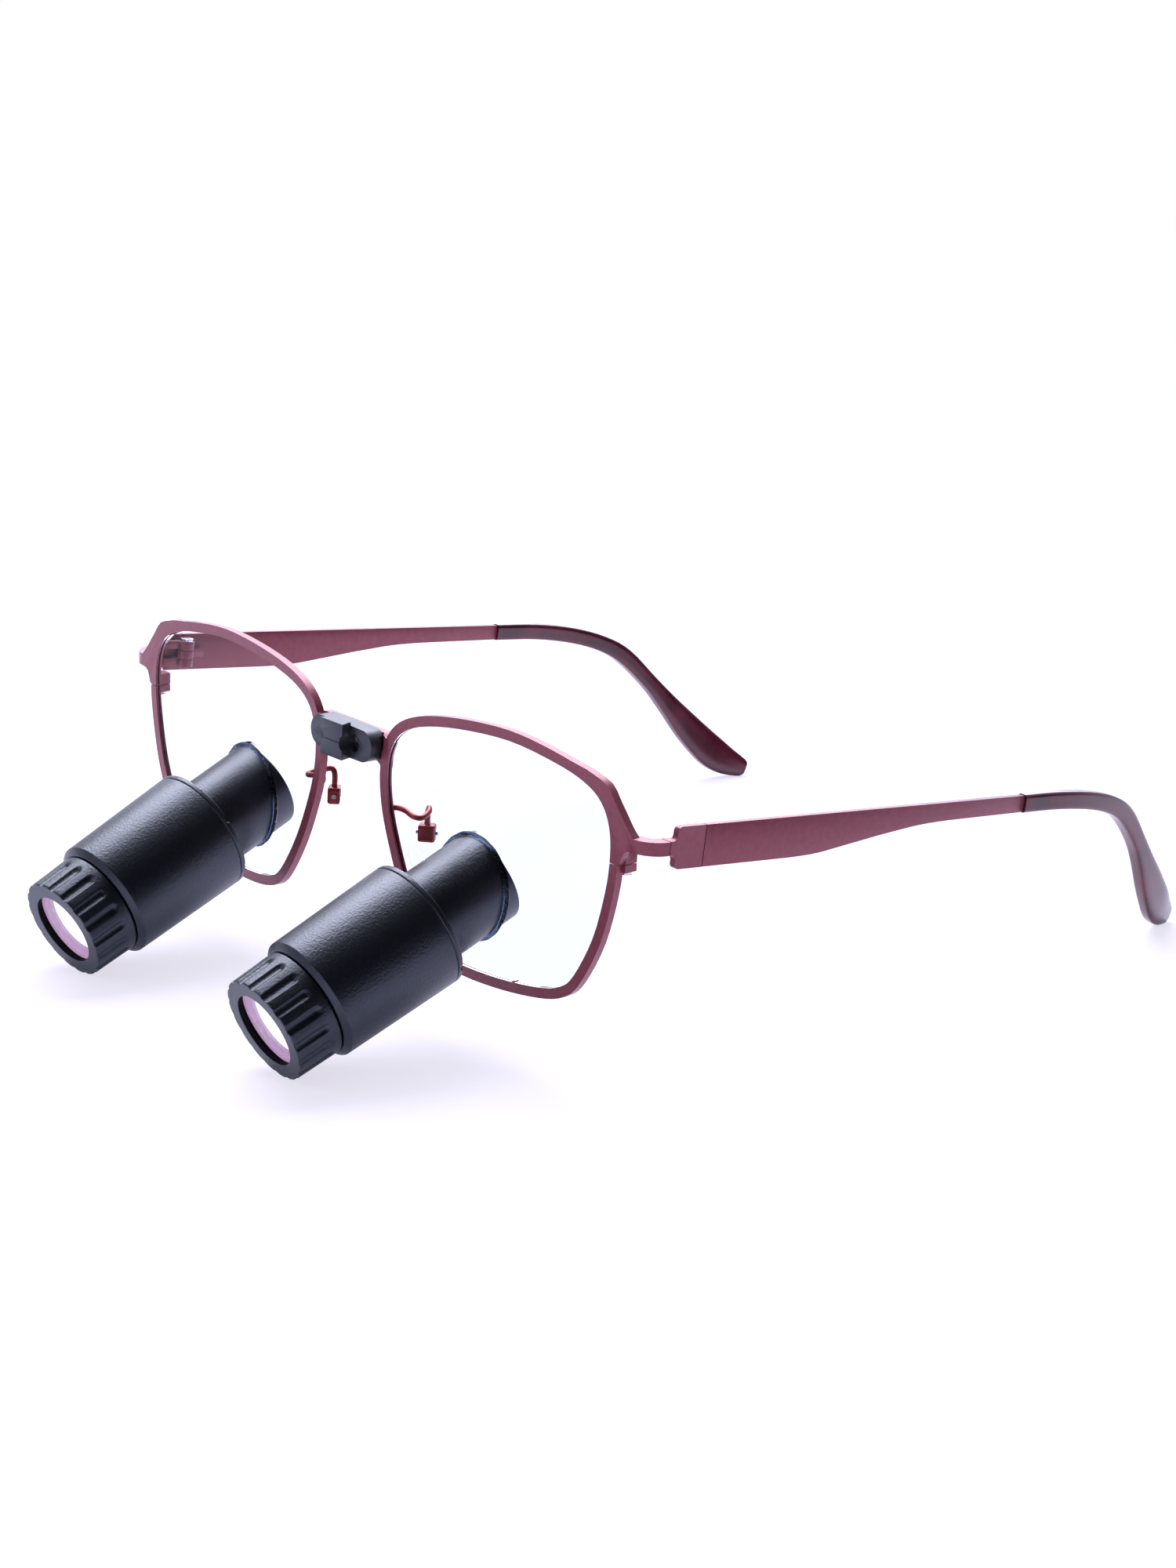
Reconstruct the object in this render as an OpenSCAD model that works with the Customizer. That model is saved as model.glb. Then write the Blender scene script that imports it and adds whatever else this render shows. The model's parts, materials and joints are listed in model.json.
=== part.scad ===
// Binocular loupes: two prism telescopes set through the lenses of a metal spectacle frame.
// Millimetres. +Z is up, the front faces -Y, +X is the wearer's left, and the part is
// symmetric about x = 0. It stands on z = 0, on both objective ends and both temple tips,
// and the origin is at the middle of its length and width.

/* [Carrier frame] */
// Width of the lens opening
lens_w = 51.5; // [47:0.5:56]
// Height of the lens opening
lens_h = 39.1; // [35:0.5:43]
// Distance between the two lens openings
bridge_gap = 19.2; // [17:0.5:22]
// Height of the lens centre above the table
lens_z = 31.02; // [31:0.01:34]
// Distance of the rim's front face behind the mirror-plane origin, at the lens centre
rim_y = 4.3; // [3.5:0.1:6]
// Turn of each rim towards its temple
wrap_angle = 3.1; // [0:0.1:6]
// Width of the rim, seen from the front
rim_w = 1.7; // [1.5:0.05:2.2]
// Depth of the rim, front to back
rim_d = 1.35; // [1.2:0.05:1.8]
// Depth of the groove that holds the lens
groove_d = 0.5; // [0.3:0.05:0.7]
// Width of that groove
groove_w = 0.5; // [0.3:0.05:0.6]
// Width of the gap where the rim opens for its lens
split_gap = 0.14; // [0.1:0.02:0.3]
// Distance of that gap above the lens centre
split_rise = 5.8; // [4.5:0.1:6.5]

/* [Carrier lens] */
// Thickness of the lens
lens_t = 1.6; // [1.2:0.1:2]
// Distance of the lens behind the rim's front face
lens_set = 0.1; // [0.05:0.05:0.25]

/* [Bridge mount] */
// Length of the mounting bar
bar_l = 16.4; // [14:0.2:18]
// Height of the mounting bar
bar_h = 5.6; // [5:0.1:6]
// Depth of the mounting bar
bar_d = 3; // [2:0.1:4]
// Distance of the bar's middle above the lens centre
bar_rise = 11.5; // [10:0.1:13]
// Thickness of the metal bridge behind the bar
bridge_t = 1.5; // [1.2:0.1:2]
// Height of the dovetail block
dovetail_h = 6; // [5:0.1:7]
// Width of the dovetail block at its front face
dovetail_w = 5.85; // [5:0.05:6.4]
// Width of the dovetail block at its root
dovetail_root_w = 4.7; // [4:0.1:5]
// Distance that the dovetail block stands out of the bar
dovetail_d = 1.95; // [1.5:0.05:2.4]
// Distance between the two mounting screws
mount_screw_span = 7.1; // [6.6:0.1:7.6]
// Radius of the mounting screws' heads
mount_head_r = 1.3; // [1.1:0.05:1.5]
// Radius of the mounting screws' shanks
mount_shank_r = 0.7; // [0.5:0.05:0.8]

/* [Nose pads] */
// Radius of the pad arm's wire
wire_r = 0.43; // [0.35:0.01:0.5]
// Length of the pad box along its screw
box_l = 2.85; // [2.6:0.05:3.2]
// Depth of the pad box
box_d = 2.1; // [1.9:0.05:2.4]
// Height of the pad box
box_h = 2.9; // [2.6:0.05:3.4]
// Height of the pad
pad_h = 14.6; // [12:0.1:16]
// Width of the pad
pad_w = 7.2; // [6:0.1:8]
// Thickness of the pad
pad_t = 2.2; // [1.8:0.1:2.6]
// Gap between the pad box and the pad
pad_gap = 0.65; // [0.5:0.05:0.9]
// Radius of the pad screw
pad_screw_r = 0.4; // [0.3:0.02:0.44]

/* [End piece and hinge] */
// Distance from the lens opening to the outer face of the hinge plate
endpiece_reach = 8.9; // [8:0.1:10]
// Radius of the bend from the rim to the hinge plate
bend_r = 4.4; // [3.9:0.1:4.8]
// Thickness of the neck
neck_t = 2.2; // [1.6:0.1:2.6]
// Height of the neck between the rim and the hinge plate
neck_h = 2.15; // [1.8:0.05:3]
// Thickness of the hinge plate and the temple
plate_t = 1.1; // [0.9:0.05:1.3]
// Height of the hinge plate
plate_h = 6.6; // [6:0.05:7.2]
// Length of the hinge plate
plate_l = 5.8; // [5.4:0.1:6.6]
// Distance from the lens centre's height up to the middle of the hinge seam
hinge_rise = 9.04; // [8.5:0.02:9.6]
// Radius of the hinge knuckles
knuckle_r = 1.4; // [1.2:0.05:1.6]
// Height of one hinge knuckle
knuckle_h = 1.5; // [1.2:0.05:1.7]
// Gap between neighbouring knuckles
knuckle_gap = 0.06; // [0.04:0.01:0.1]
// Radius of the hinge screw
hinge_screw_r = 0.7; // [0.5:0.05:0.8]
// Gap between the hinge plate and the temple, at the seam
seam_gap = 0.12; // [0.08:0.01:0.2]

/* [Temples] */
// Length of the flat temple, from the hinge seam to the tip
temple_l = 73.3; // [68:0.1:80]
// Height of the temple where it enters the tip
temple_end_h = 2.8; // [2.5:0.05:3.4]
// Slope of the temple, down towards the ear
temple_slope = 5.68; // [4.5:0.02:7]
// Lean of the temple towards the head
temple_lean = 0.58; // [0:0.02:1.2]
// Thickness of the tip at its middle
tip_t = 2.7; // [2.2:0.1:3.2]
// Width of the tip at its broadest
tip_w = 6.7; // [5:0.1:8]
// Length of the metal tang inside the tip
tang_l = 9; // [6:0.5:10]

/* [Barrels] */
// Half the distance between the two telescopes at the lenses
pupil_x = 30.2; // [28:0.1:33]
// Distance from the lens centre down to the telescope axis
pupil_drop = 6.4; // [4:0.05:8]
// Downward tilt of the telescopes
declination = 23.45; // [18:0.05:26]
// Inward turn of each telescope
convergence = 2.7; // [1:0.1:4]
// Radius of the focus ring at its front
ring_r = 8.9; // [8.7:0.05:9.1]
// Radius of the focus ring at its back
ring_back_r = 9.12; // [9:0.02:9.4]
// Length of the focus ring
ring_l = 7.85; // [7:0.05:8.6]
// Radius of the light opening in the focus ring
aperture_r = 6.2; // [5.6:0.05:6.4]
// Number of flutes round the focus ring
flutes = 18; // [12:1:22]
// Length of the flutes
flute_l = 6.6; // [4:0.1:6.8]
// Depth of the flutes
flute_d = 0.42; // [0.2:0.02:0.5]
// Radius of the prism housing at its front
housing_front_r = 10.25; // [10.2:0.05:10.6]
// Radius of the prism housing at its back
housing_back_r = 10.75; // [10.6:0.05:11.5]
// Length of the prism housing
housing_l = 21.8; // [21.6:0.1:23]
// Thickness of the ring that closes the housing
rear_ring_l = 0.95; // [0.7:0.05:1.4]
// Radius of the eyepiece tube
tube_r = 7.75; // [7.5:0.05:8.1]
// Length of the eyepiece tube
tube_l = 16.87; // [15:0.01:20]
// Wall of the eyepiece tube
tube_wall = 0.75; // [0.5:0.05:0.9]
// Length of the eyepiece tube behind the carrier lens
eyepiece_back = 4; // [3:0.1:6]
// Width of the clear bead round the tube where it is bonded to the lens
bead_w = 1.35; // [1.2:0.05:1.8]
// Travel of the objective when the focus ring turns
focus_travel = 1.2; // [0.6:0.1:1.4]

/* [Fits] */
// Radial gap of a turning or sliding fit
running_gap = 0.05; // [0.03:0.01:0.08]
// Gap between parts that are set or bonded together
seat_gap = 0.03; // [0.02:0.01:0.06]

/* [Hidden] */
$fn = 64;

// Colours of the finishes
wine = [0.42, 0.13, 0.17];
dark_wine = [0.25, 0.03, 0.06];
black = [0.05, 0.05, 0.06];
soft_black = [0.13, 0.13, 0.14];
clear = [0.86, 0.92, 0.96, 0.35];
purple_glass = [0.62, 0.42, 0.62, 0.6];
steel = [0.75, 0.75, 0.78];

// Small distance by which a cutter passes the face that it cuts
over = 0.2;
// Distance that a joined shape reaches into the one that it joins
sink = 0.2;

// Places worked out from the sizes above
lens_x = bridge_gap / 2 + lens_w / 2;
half_width = bridge_gap / 2 + lens_w + endpiece_reach;
pupil_z = lens_z - pupil_drop;
rim_out_y = rim_y + (half_width - bend_r - lens_x) * tan(wrap_angle);
seam_y = rim_out_y + bend_r + plate_l + 0.55;
groove_y = (rim_d - groove_w) / 2;
// Distances from the objective end, along the axis, of the housing, its rear ring and the eyepiece
housing_start = ring_l + 0.35;
housing_end = housing_start + housing_l;
ring_start = housing_end + seat_gap;
tube_start = ring_start - 1.3;
tube_end = tube_start + tube_l;
barrel_reach = tube_end - eyepiece_back;
hinge_z = lens_z + hinge_rise;
bar_z = lens_z + bar_rise;
bar_back_y = rim_y - (lens_x - bridge_gap / 2) * tan(wrap_angle) + 0.85;
bar_front_y = bar_back_y - bar_d;
rim_front = bar_back_y - 0.85;

// Joins the given points with a smooth closed curve that passes through each of them
function blend4(a, b, c, d, t) = 0.5 * (2 * b + (c - a) * t + (2 * a - 5 * b + 4 * c - d) * t * t
    + (3 * b - a - 3 * c + d) * t * t * t);
function closed_curve(p, steps) = [for (i = [0:len(p) - 1], k = [0:steps - 1])
    blend4(p[(i + len(p) - 1) % len(p)], p[i], p[(i + 1) % len(p)], p[(i + 2) % len(p)], k / steps)];
// Joins the given points with a smooth open curve
function open_curve(p, steps) = [for (i = [0:len(p) - 2], k = [0:(i == len(p) - 2 ? steps : steps - 1)])
    blend4(p[max(i - 1, 0)], p[i], p[i + 1], p[min(i + 2, len(p) - 1)], k / steps)];
function unit(v) = v / norm(v);
// Moves each point of a closed curve outwards by a distance
function outset(p, d) = [for (i = [0:len(p) - 1])
    let (along = unit(p[(i + 1) % len(p)] - p[(i + len(p) - 1) % len(p)])) p[i] + d * [-along[1], along[0]]];
// Points of an arc about a centre
function arc(centre, r, from, to, steps) = [for (k = [0:steps])
    centre + r * [cos(from + (to - from) * k / steps), sin(from + (to - from) * k / steps)]];

// Outline of the left lens opening, clockwise from the nose side, for a 51.5 by 39.1 opening
lens_shape = [[-25.75, 7.5], [-25.2, 11.2], [-22.9, 14.7], [-18, 17.1], [-9, 18.8], [2.6, 19.55],
    [13, 18.5], [19.5, 17], [23.3, 14.8], [25.3, 11.2], [25.75, 6.6], [25.1, 1], [22.9, -7],
    [19.2, -14], [16.3, -16.7], [11.5, -18.2], [3, -19.3], [-6, -19.55], [-12.4, -18.7],
    [-15.9, -16.5], [-20.5, -9.5], [-24, -1.5], [-25.4, 3.5]];
lens_curve = closed_curve([for (q = lens_shape) [q[0] * lens_w / 51.5, q[1] * lens_h / 39.1]], 4);

// Distance from the lenses back to the middle of the part's length
mid_y = 55.25;
// Moves a finished piece so that the origin is under the middle of the part
module centred() {
    translate([0, -mid_y, 0]) children();
}

// Puts the left side's shapes on the side that is asked for: 1 is left, -1 is right
module side(way) {
    if (way > 0) children();
    else mirror([1, 0, 0]) children();
}

// Frame of the left rim: x along the rim, y backwards from its front face, z up
module on_rim() {
    translate([lens_x, rim_y, lens_z]) rotate([0, 0, wrap_angle]) children();
}

// Extrudes a front-view outline from one depth behind the rim's front face to another
module rim_slab(from, to) {
    translate([0, to, 0]) rotate([90, 0, 0]) linear_extrude(to - from) children();
}

// Frame of the left telescope: z runs backwards along its axis from the objective end, -y is up
module on_barrel() {
    lens_front_y = rim_y + lens_set + (pupil_x - lens_x) * tan(wrap_angle);
    translate([pupil_x, lens_front_y, pupil_z])
        rotate([declination - 90, 0, -convergence])
            translate([0, 0, -barrel_reach]) children();
}

// Frame of the left temple: the seam's outer edge at the origin, y towards the ear, x outwards
module on_temple() {
    translate([half_width, seam_y, hinge_z]) rotate([-temple_slope, 0, temple_lean]) children();
}

// Frame of the left hinge pin: z along the pin
hinge_inset = plate_t + knuckle_r + 0.15;
module on_hinge() {
    on_temple() translate([-hinge_inset, 0, 0]) children();
}

// Ring about z between two radii and two heights
module ring(outer, inner, from, to) {
    translate([0, 0, from]) difference() {
        cylinder(r = outer, h = to - from);
        translate([0, 0, -over]) cylinder(r = inner, h = to - from + 2 * over);
    }
}

// The frame front: two grooved rims, the bridge, the end pieces and the rim locks

// Outer edge of the rim where it widens towards its corner, for a 51.5 by 39.1 opening
corner_shape = [[11.5, 20], [16.6, 19.6], [19.9, 19.1], [22.9, 18.3], [24.3, 17.75], [25.3, 16.85]];
// Outer edge from that corner down to the neck, measured from the opening's side and the neck's middle
flare_shape = [[0.65, 5.7], [1.95, 4.15], [2.95, 2.9], [3.75, 2], [4.35, 1.45]];
lock_w = 2;
lock_d = 2.2;
lock_up = 2;
lock_down = 1.3;
lock_screw_r = 0.45;
lock_x = lens_w / 2 + 1.3;

// Front view of the flare from the rim's outer corner into the neck
module end_piece() {
    neck_z = hinge_rise + (plate_l + 0.6) * sin(temple_slope);
    corner_top = [for (q = corner_shape) [q[0] * lens_w / 51.5, q[1] * lens_h / 39.1]];
    flare_top = [for (q = flare_shape) [q[0] + lens_w / 2, q[1] + neck_z]];
    neck_start = half_width - bend_r - lens_x;
    polygon(concat([[lens_w / 2 - 3.5, split_rise + 1.5], [lens_w / 2 - 6, lens_h / 2 - 2.6]],
        corner_top, flare_top, [[neck_start + 0.3, neck_z + neck_h / 2 - 0.03], [neck_start + 0.3, neck_z - neck_h / 2 + 0.03],
        [lens_w / 2 + 3.6, neck_z - neck_h / 2 - 0.1], [lens_w / 2 + 2.8, neck_z - neck_h / 2 - 0.6],
        [lens_w / 2 + 2.35, split_rise + 1.2], [lens_w / 2 + 2, split_rise + 0.2],
        [lens_w / 2, split_rise + 0.2]]));
}

module neck() {
    neck_z = hinge_z + (plate_l + 0.6) * sin(temple_slope);
    // The bend between the flare and the hinge plate
    translate([half_width - bend_r, rim_out_y + bend_r, neck_z - neck_h / 2])
        rotate([0, 0, -92]) rotate_extrude(angle = 92.6)
            translate([bend_r - neck_t, 0]) square([neck_t, neck_h]);
    translate([half_width - bend_r, rim_out_y, neck_z - neck_h / 2]) linear_extrude(neck_h)
        polygon([[0.2, 0.02], [-3, 0.3], [-3, rim_d - 0.3], [-0.2, neck_t], [0.2, neck_t]]);
    // The plate that meets the temple at the seam, with a fillet above and below the neck
    corner = 0.8;
    fillet = 1;
    half_neck = neck_h / 2 - 0.02;
    on_temple() translate([-plate_t, -plate_l, 0]) rotate([90, 0, 90]) linear_extrude(plate_t)
        polygon(concat([[plate_l - seam_gap, -plate_h / 2], [plate_l - seam_gap, plate_h / 2]],
            arc([corner, plate_h / 2 - corner], corner, 90, 180, 6),
            arc([-fillet, half_neck + fillet], fillet, 0, -90, 6),
            arc([-fillet, -half_neck - fillet], fillet, 90, 0, 6),
            arc([corner, corner - plate_h / 2], corner, 180, 270, 6)));
    on_temple() translate([-neck_t, -plate_l - 1.2, -neck_h / 2]) cube([neck_t, 2.1, neck_h]);
}

module rim() {
    outer = outset(lens_curve, rim_w);
    on_rim() difference() {
        union() {
            rim_slab(0, rim_d) {
                polygon(outer);
                end_piece();
            }
            translate([lock_x - lock_w / 2, rim_d - sink, split_rise - lock_down])
                cube([lock_w, lock_d + sink, lock_up + lock_down]);
        }
        rim_slab(-over, rim_d + lock_d + over) polygon(lens_curve);
        rim_slab(groove_y, groove_y + groove_w) polygon(outset(lens_curve, groove_d));
        translate([lens_w / 2 - 3, -over, split_rise - split_gap / 2])
            cube([8, rim_d + lock_d + 2 * over, split_gap]);
        translate([lock_x, rim_d + lock_d / 2, split_rise - lock_down - over])
            cylinder(r = lock_screw_r + seat_gap, h = lock_up + lock_down - 0.3 + over);
    }
}

bridge_z = bar_z - lens_z;
module bridge() {
    nose_x = bridge_gap / 2;
    // Plan shape of the bar, met by its front-view shape
    intersection() {
        translate([0, 0, bar_z - 6]) linear_extrude(12) polygon([[-nose_x - 0.4, rim_front],
            [1 - nose_x, rim_front], [2 - nose_x, bar_back_y], [nose_x - 2, bar_back_y],
            [nose_x - 1, rim_front], [nose_x + 0.4, rim_front],
            [nose_x + 0.4, rim_front + rim_d], [nose_x - 2.4, bar_back_y + bridge_t],
            [2.4 - nose_x, bar_back_y + bridge_t], [-nose_x - 0.4, rim_front + rim_d]]);
        translate([0, 30, bar_z]) rotate([90, 0, 0]) linear_extrude(60) polygon(concat(
            [[-nose_x - 0.35, -2.8], [-nose_x - 0.35, 1.4], [1.4 - nose_x, 2.4], [2.6 - nose_x, 2.25],
            [nose_x - 2.6, 2.25], [nose_x - 1.4, 2.4], [nose_x + 0.35, 1.4], [nose_x + 0.35, -2.8]],
            [[nose_x - 1.9, -4.6], [nose_x - 2.5, -3.6], [nose_x - 3.6, -2.85], [3.6 - nose_x, -2.85],
            [2.5 - nose_x, -3.6], [1.9 - nose_x, -4.6]]));
    }
}

module front_frame() {
    color(wine) difference() {
        union() {
            for (way = [1, -1]) side(way) {
                rim();
                neck();
            }
            difference() {
                bridge();
                for (way = [1, -1]) side(way) on_rim() rim_slab(-over, rim_d + over) polygon(lens_curve);
                for (way = [1, -1]) side(way) on_rim()
                    rim_slab(groove_y, groove_y + groove_w) polygon(outset(lens_curve, groove_d));
            }
        }
        for (way = [1, -1]) translate([way * mount_screw_span / 2, bar_back_y + bridge_t + over, bar_z])
            rotate([90, 0, 0]) cylinder(r = mount_shank_r + seat_gap, h = bridge_t + 2 * over);
    }
}

module rim_lock_screws() {
    color(steel) for (way = [1, -1]) side(way) on_rim()
        translate([lock_x, rim_d + lock_d / 2, split_rise - lock_down - 0.55]) {
            cylinder(r = lock_screw_r, h = lock_up + lock_down + 0.55 - 0.45);
            difference() {
                cylinder(r = 0.8, h = 0.5);
                translate([-1, -0.12, -over]) cube([2, 0.24, 0.2 + over]);
            }
        }
}

module carrier_lens() {
    color(clear) difference() {
        on_rim() {
            rim_slab(lens_set, lens_set + lens_t) polygon(outset(lens_curve, -seat_gap));
            rim_slab(groove_y + seat_gap, groove_y + groove_w - seat_gap)
                polygon(outset(lens_curve, groove_d - seat_gap));
        }
        on_barrel() cylinder(r = tube_r + seat_gap, h = 80);
    }
}

// The black bar on the bridge, with its dovetail for an accessory

bar_corner = bar_h / 2 - 0.1;
module bridge_mount() {
    seam_line = 0.12;
    head_depth = bar_d - 1;
    color(soft_black) difference() {
        union() {
            // Stadium bar with a slightly arched top
            translate([0, bar_back_y - seat_gap, bar_z]) rotate([90, 0, 0]) linear_extrude(bar_d - seat_gap)
                polygon(concat(arc([bar_l / 2 - bar_corner, 0], bar_corner, -90, 76, 14),
                    [[0, bar_h / 2]],
                    arc([bar_corner - bar_l / 2, 0], bar_corner, 104, 270, 14)));
            // Dovetail block, wider at its face than at its root
            translate([0, 0, bar_z - bar_h / 2]) linear_extrude(dovetail_h) polygon([
                [-dovetail_root_w / 2, bar_front_y + sink], [-dovetail_root_w / 2, bar_front_y],
                [-dovetail_w / 2, bar_front_y - dovetail_d], [dovetail_w / 2, bar_front_y - dovetail_d],
                [dovetail_root_w / 2, bar_front_y], [dovetail_root_w / 2, bar_front_y + sink]]);
        }
        for (way = [1, -1]) translate([way * mount_screw_span / 2, 0, bar_z]) {
            translate([0, bar_front_y + head_depth, 0]) rotate([90, 0, 0])
                cylinder(r = mount_head_r + 0.15, h = dovetail_d + head_depth + over);
            translate([0, bar_back_y + over, 0]) rotate([90, 0, 0])
                cylinder(r = mount_shank_r + seat_gap, h = bar_d + over);
        }
        translate([-dovetail_w, bar_front_y - dovetail_d - over, bar_z - seam_line / 2])
            cube([2 * dovetail_w, over + 0.15, seam_line]);
        // Back corners, cut away where the rims stand forward of the bridge
        for (way = [1, -1]) side(way) translate([bridge_gap / 2 - 2.05, rim_front - 0.13, bar_z - bar_h])
            cube([bar_l / 2, bar_d, 2 * bar_h]);
    }
}

module bridge_mount_screws() {
    head_h = 0.9;
    seat_y = bar_front_y + bar_d - 1 - seat_gap;
    color(steel) for (way = [1, -1]) translate([way * mount_screw_span / 2, seat_y, bar_z])
        rotate([90, 0, 0]) {
            difference() {
                cylinder(r = mount_head_r, h = head_h);
                for (turn = [0, 90]) rotate([0, 0, turn]) translate([-0.8, -0.15, head_h - 0.4])
                    cube([1.6, 0.3, 0.4 + over]);
            }
            translate([0, 0, -bridge_t - 0.9]) cylinder(r = mount_shank_r, h = bridge_t + 0.95);
        }
}

// Nose pad arm, box, insert and pad

// Place of the pad box: behind the nose side of the rim
wire_base = [bridge_gap / 2, rim_y, lens_z];
box_shift = [3.2, 5.05, -2.6];
box_place = wire_base + box_shift;
// Direction of the pad screw, from the x axis
pad_turn = 41.5;
module on_box() {
    translate(box_place) rotate([0, 0, pad_turn]) children();
}

// Points of the wire from the rim to the box, measured from the nose edge of the opening
wire_route = open_curve([[-0.55, -0.2, 1.5], [0.6, 0.7, 1.7], [2.3, 1.1, 1.6], [4.5, 1.1, 1.15],
    [5.6, 2, 1.05], [4.9, 3.9, 1.5], [3.8, 4.85, 1.8], [3.2, 5.1, 0.9], box_shift + [0, 0, 1]], 4);

// Tube that follows a route, one ring of sides at each of its points
function route_ring(route, i, r, sides) = let (
    along = unit(route[min(i + 1, len(route) - 1)] - route[max(i - 1, 0)]),
    across = unit(cross(along, abs(along[2]) > 0.8 ? [0, 1, 0] : [0, 0, 1])), up = cross(along, across))
    [for (k = [0:sides - 1]) route[i] + r * (cos(360 * k / sides) * across + sin(360 * k / sides) * up)];
module route_tube(route, r, sides) {
    last = len(route) - 1;
    points = [for (i = [0:last]) each route_ring(route, i, r, sides)];
    faces = concat([[for (k = [0:sides - 1]) k]],
        [for (i = [0:last - 1], k = [0:sides - 1]) [i * sides + k, (i + 1) * sides + k,
            (i + 1) * sides + (k + 1) % sides, i * sides + (k + 1) % sides]],
        [[for (k = [sides - 1:-1:0]) last * sides + k]]);
    polyhedron(points, faces);
}

slot_w = 1.5;
module pad_arm() {
    color(wine) {
        difference() {
            translate(wire_base) route_tube(wire_route, wire_r, 10);
            on_box() translate([-box_l, -box_d, -box_h]) cube([2 * box_l, 2 * box_d, 1.5 * box_h - 0.3]);
            // The wire starts at the rim's back face
            on_rim() translate([-lens_w / 2 - 5, -4, -5]) cube([10, 4 + rim_d + seat_gap, 10]);
        }
        on_box() difference() {
            translate([-box_l / 2, -box_d / 2, -box_h / 2]) cube([box_l, box_d, box_h]);
            // Slot for the pad's lug, open towards the nose
            translate([-slot_w / 2, -box_d / 2 + 0.3, -box_h / 2 + 0.5])
                cube([slot_w, box_d, box_h - 1]);
            translate([-box_l, 0.1, 0]) rotate([0, 90, 0]) cylinder(r = pad_screw_r + seat_gap, h = 2 * box_l);
        }
    }
}

module nose_pad_screws() {
    color(steel) for (way = [1, -1]) side(way) on_box() translate([0, 0.1, 0]) rotate([0, 90, 0])
        difference() {
            translate([0, 0, -box_l / 2 - 0.35]) cylinder(r = pad_screw_r, h = box_l + 0.7);
            translate([-1, -0.1, box_l / 2 + 0.2]) cube([2, 0.2, 0.4]);
        }
}

lug_w = slot_w - 0.2;
lug_h = box_h - 1.7;
lug_eye_r = 0.72;
// Distance from the pad screw down to the middle of the pad
pad_drop = 0.9;
module pad_insert() {
    plate_y = box_d / 2 + pad_gap;
    color(clear) on_box() difference() {
        union() {
            translate([-lug_w / 2, 0.1, 0]) rotate([0, 90, 0]) cylinder(r = lug_eye_r, h = lug_w);
            translate([-lug_w / 2, 0.1, -lug_h / 2]) cube([lug_w, plate_y + 0.35, lug_h]);
            translate([0, plate_y + 0.85, 0]) rotate([90, 0, 0]) linear_extrude(0.6)
                scale(1) polygon(concat(arc([0, pad_h / 4], pad_w / 4, 0, 180, 12),
                    arc([0, -pad_h / 4], pad_w / 4, 180, 360, 12)));
        }
        translate([-box_l, 0.1, 0]) rotate([0, 90, 0]) cylinder(r = pad_screw_r + running_gap, h = 2 * box_l);
    }
}

// Pad outline: an egg shape, broader below
pad_shape = closed_curve([[0, 0.5], [0.34, 0.38], [0.46, 0.1], [0.5, -0.2], [0.34, -0.43], [0, -0.5],
    [-0.34, -0.43], [-0.5, -0.2], [-0.46, 0.1], [-0.34, 0.38]], 4);
module nose_pad() {
    plate_y = box_d / 2 + pad_gap;
    color(clear) on_box() difference() {
        for (layer = [[0, 0.86, 0.5], [0.5, 1, 1.1], [1.6, 0.84, pad_t - 1.6]])
            translate([0, plate_y + layer[0] + layer[2], -pad_drop]) rotate([90, 0, 0]) linear_extrude(layer[2])
                polygon([for (q = pad_shape) layer[1] * [q[0] * pad_w, q[1] * pad_h]]);
        // Pocket that the insert's plate is moulded into, and its neck
        translate([0, plate_y + 0.85 + seat_gap, 0]) rotate([90, 0, 0]) linear_extrude(0.6 + 2 * seat_gap)
            polygon(concat(arc([0, pad_h / 4], pad_w / 4 + seat_gap, 0, 180, 12),
                arc([0, -pad_h / 4], pad_w / 4 + seat_gap, 180, 360, 12)));
        translate([-lug_w / 2 - seat_gap, plate_y - over, -lug_h / 2 - seat_gap])
            cube([lug_w + 2 * seat_gap, over + 0.3, lug_h + 2 * seat_gap]);
    }
}

// Hinge: two knuckles on the hinge plate, one on the temple, and the screw through them

leaf_l = 4.2;
leaf_t = 1.2;
module knuckle(height, way) {
    // One knuckle and the leaf that joins it to the plate beside it
    reach = hinge_inset - plate_t;
    difference() {
        union() {
            cylinder(r = knuckle_r, h = height);
            translate([0, way > 0 ? 0 : -leaf_l, 0]) cube([reach - seat_gap, leaf_l, height]);
        }
        translate([0, 0, -over]) cylinder(r = hinge_screw_r + running_gap, h = height + 2 * over);
        // Face of the leaf, cut back so that it is thin
        translate([-knuckle_r, way > 0 ? knuckle_r : -leaf_l - over, -over])
            cube([knuckle_r + reach - leaf_t, leaf_l - knuckle_r + over, height + 2 * over]);
    }
}

module hinge_front() {
    color(wine) on_hinge() for (low = [-1.5 * knuckle_h - knuckle_gap, 0.5 * knuckle_h + knuckle_gap])
        translate([0, 0, low]) knuckle(knuckle_h, -1);
}

module hinge_rear() {
    color(wine) on_hinge() translate([0, 0, -knuckle_h / 2]) knuckle(knuckle_h, 1);
}

module hinge_screw() {
    pin_low = -1.5 * knuckle_h - knuckle_gap - 0.05;
    color(steel) on_hinge() {
        translate([0, 0, pin_low]) cylinder(r = hinge_screw_r, h = 3 * knuckle_h + 2 * knuckle_gap + 0.1);
        translate([0, 0, -pin_low]) difference() {
            cylinder(r = 1.15, h = 0.45);
            translate([-1.5, -0.15, 0.25]) cube([3, 0.3, 0.2 + over]);
        }
    }
}

// Temple and its tip

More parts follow.
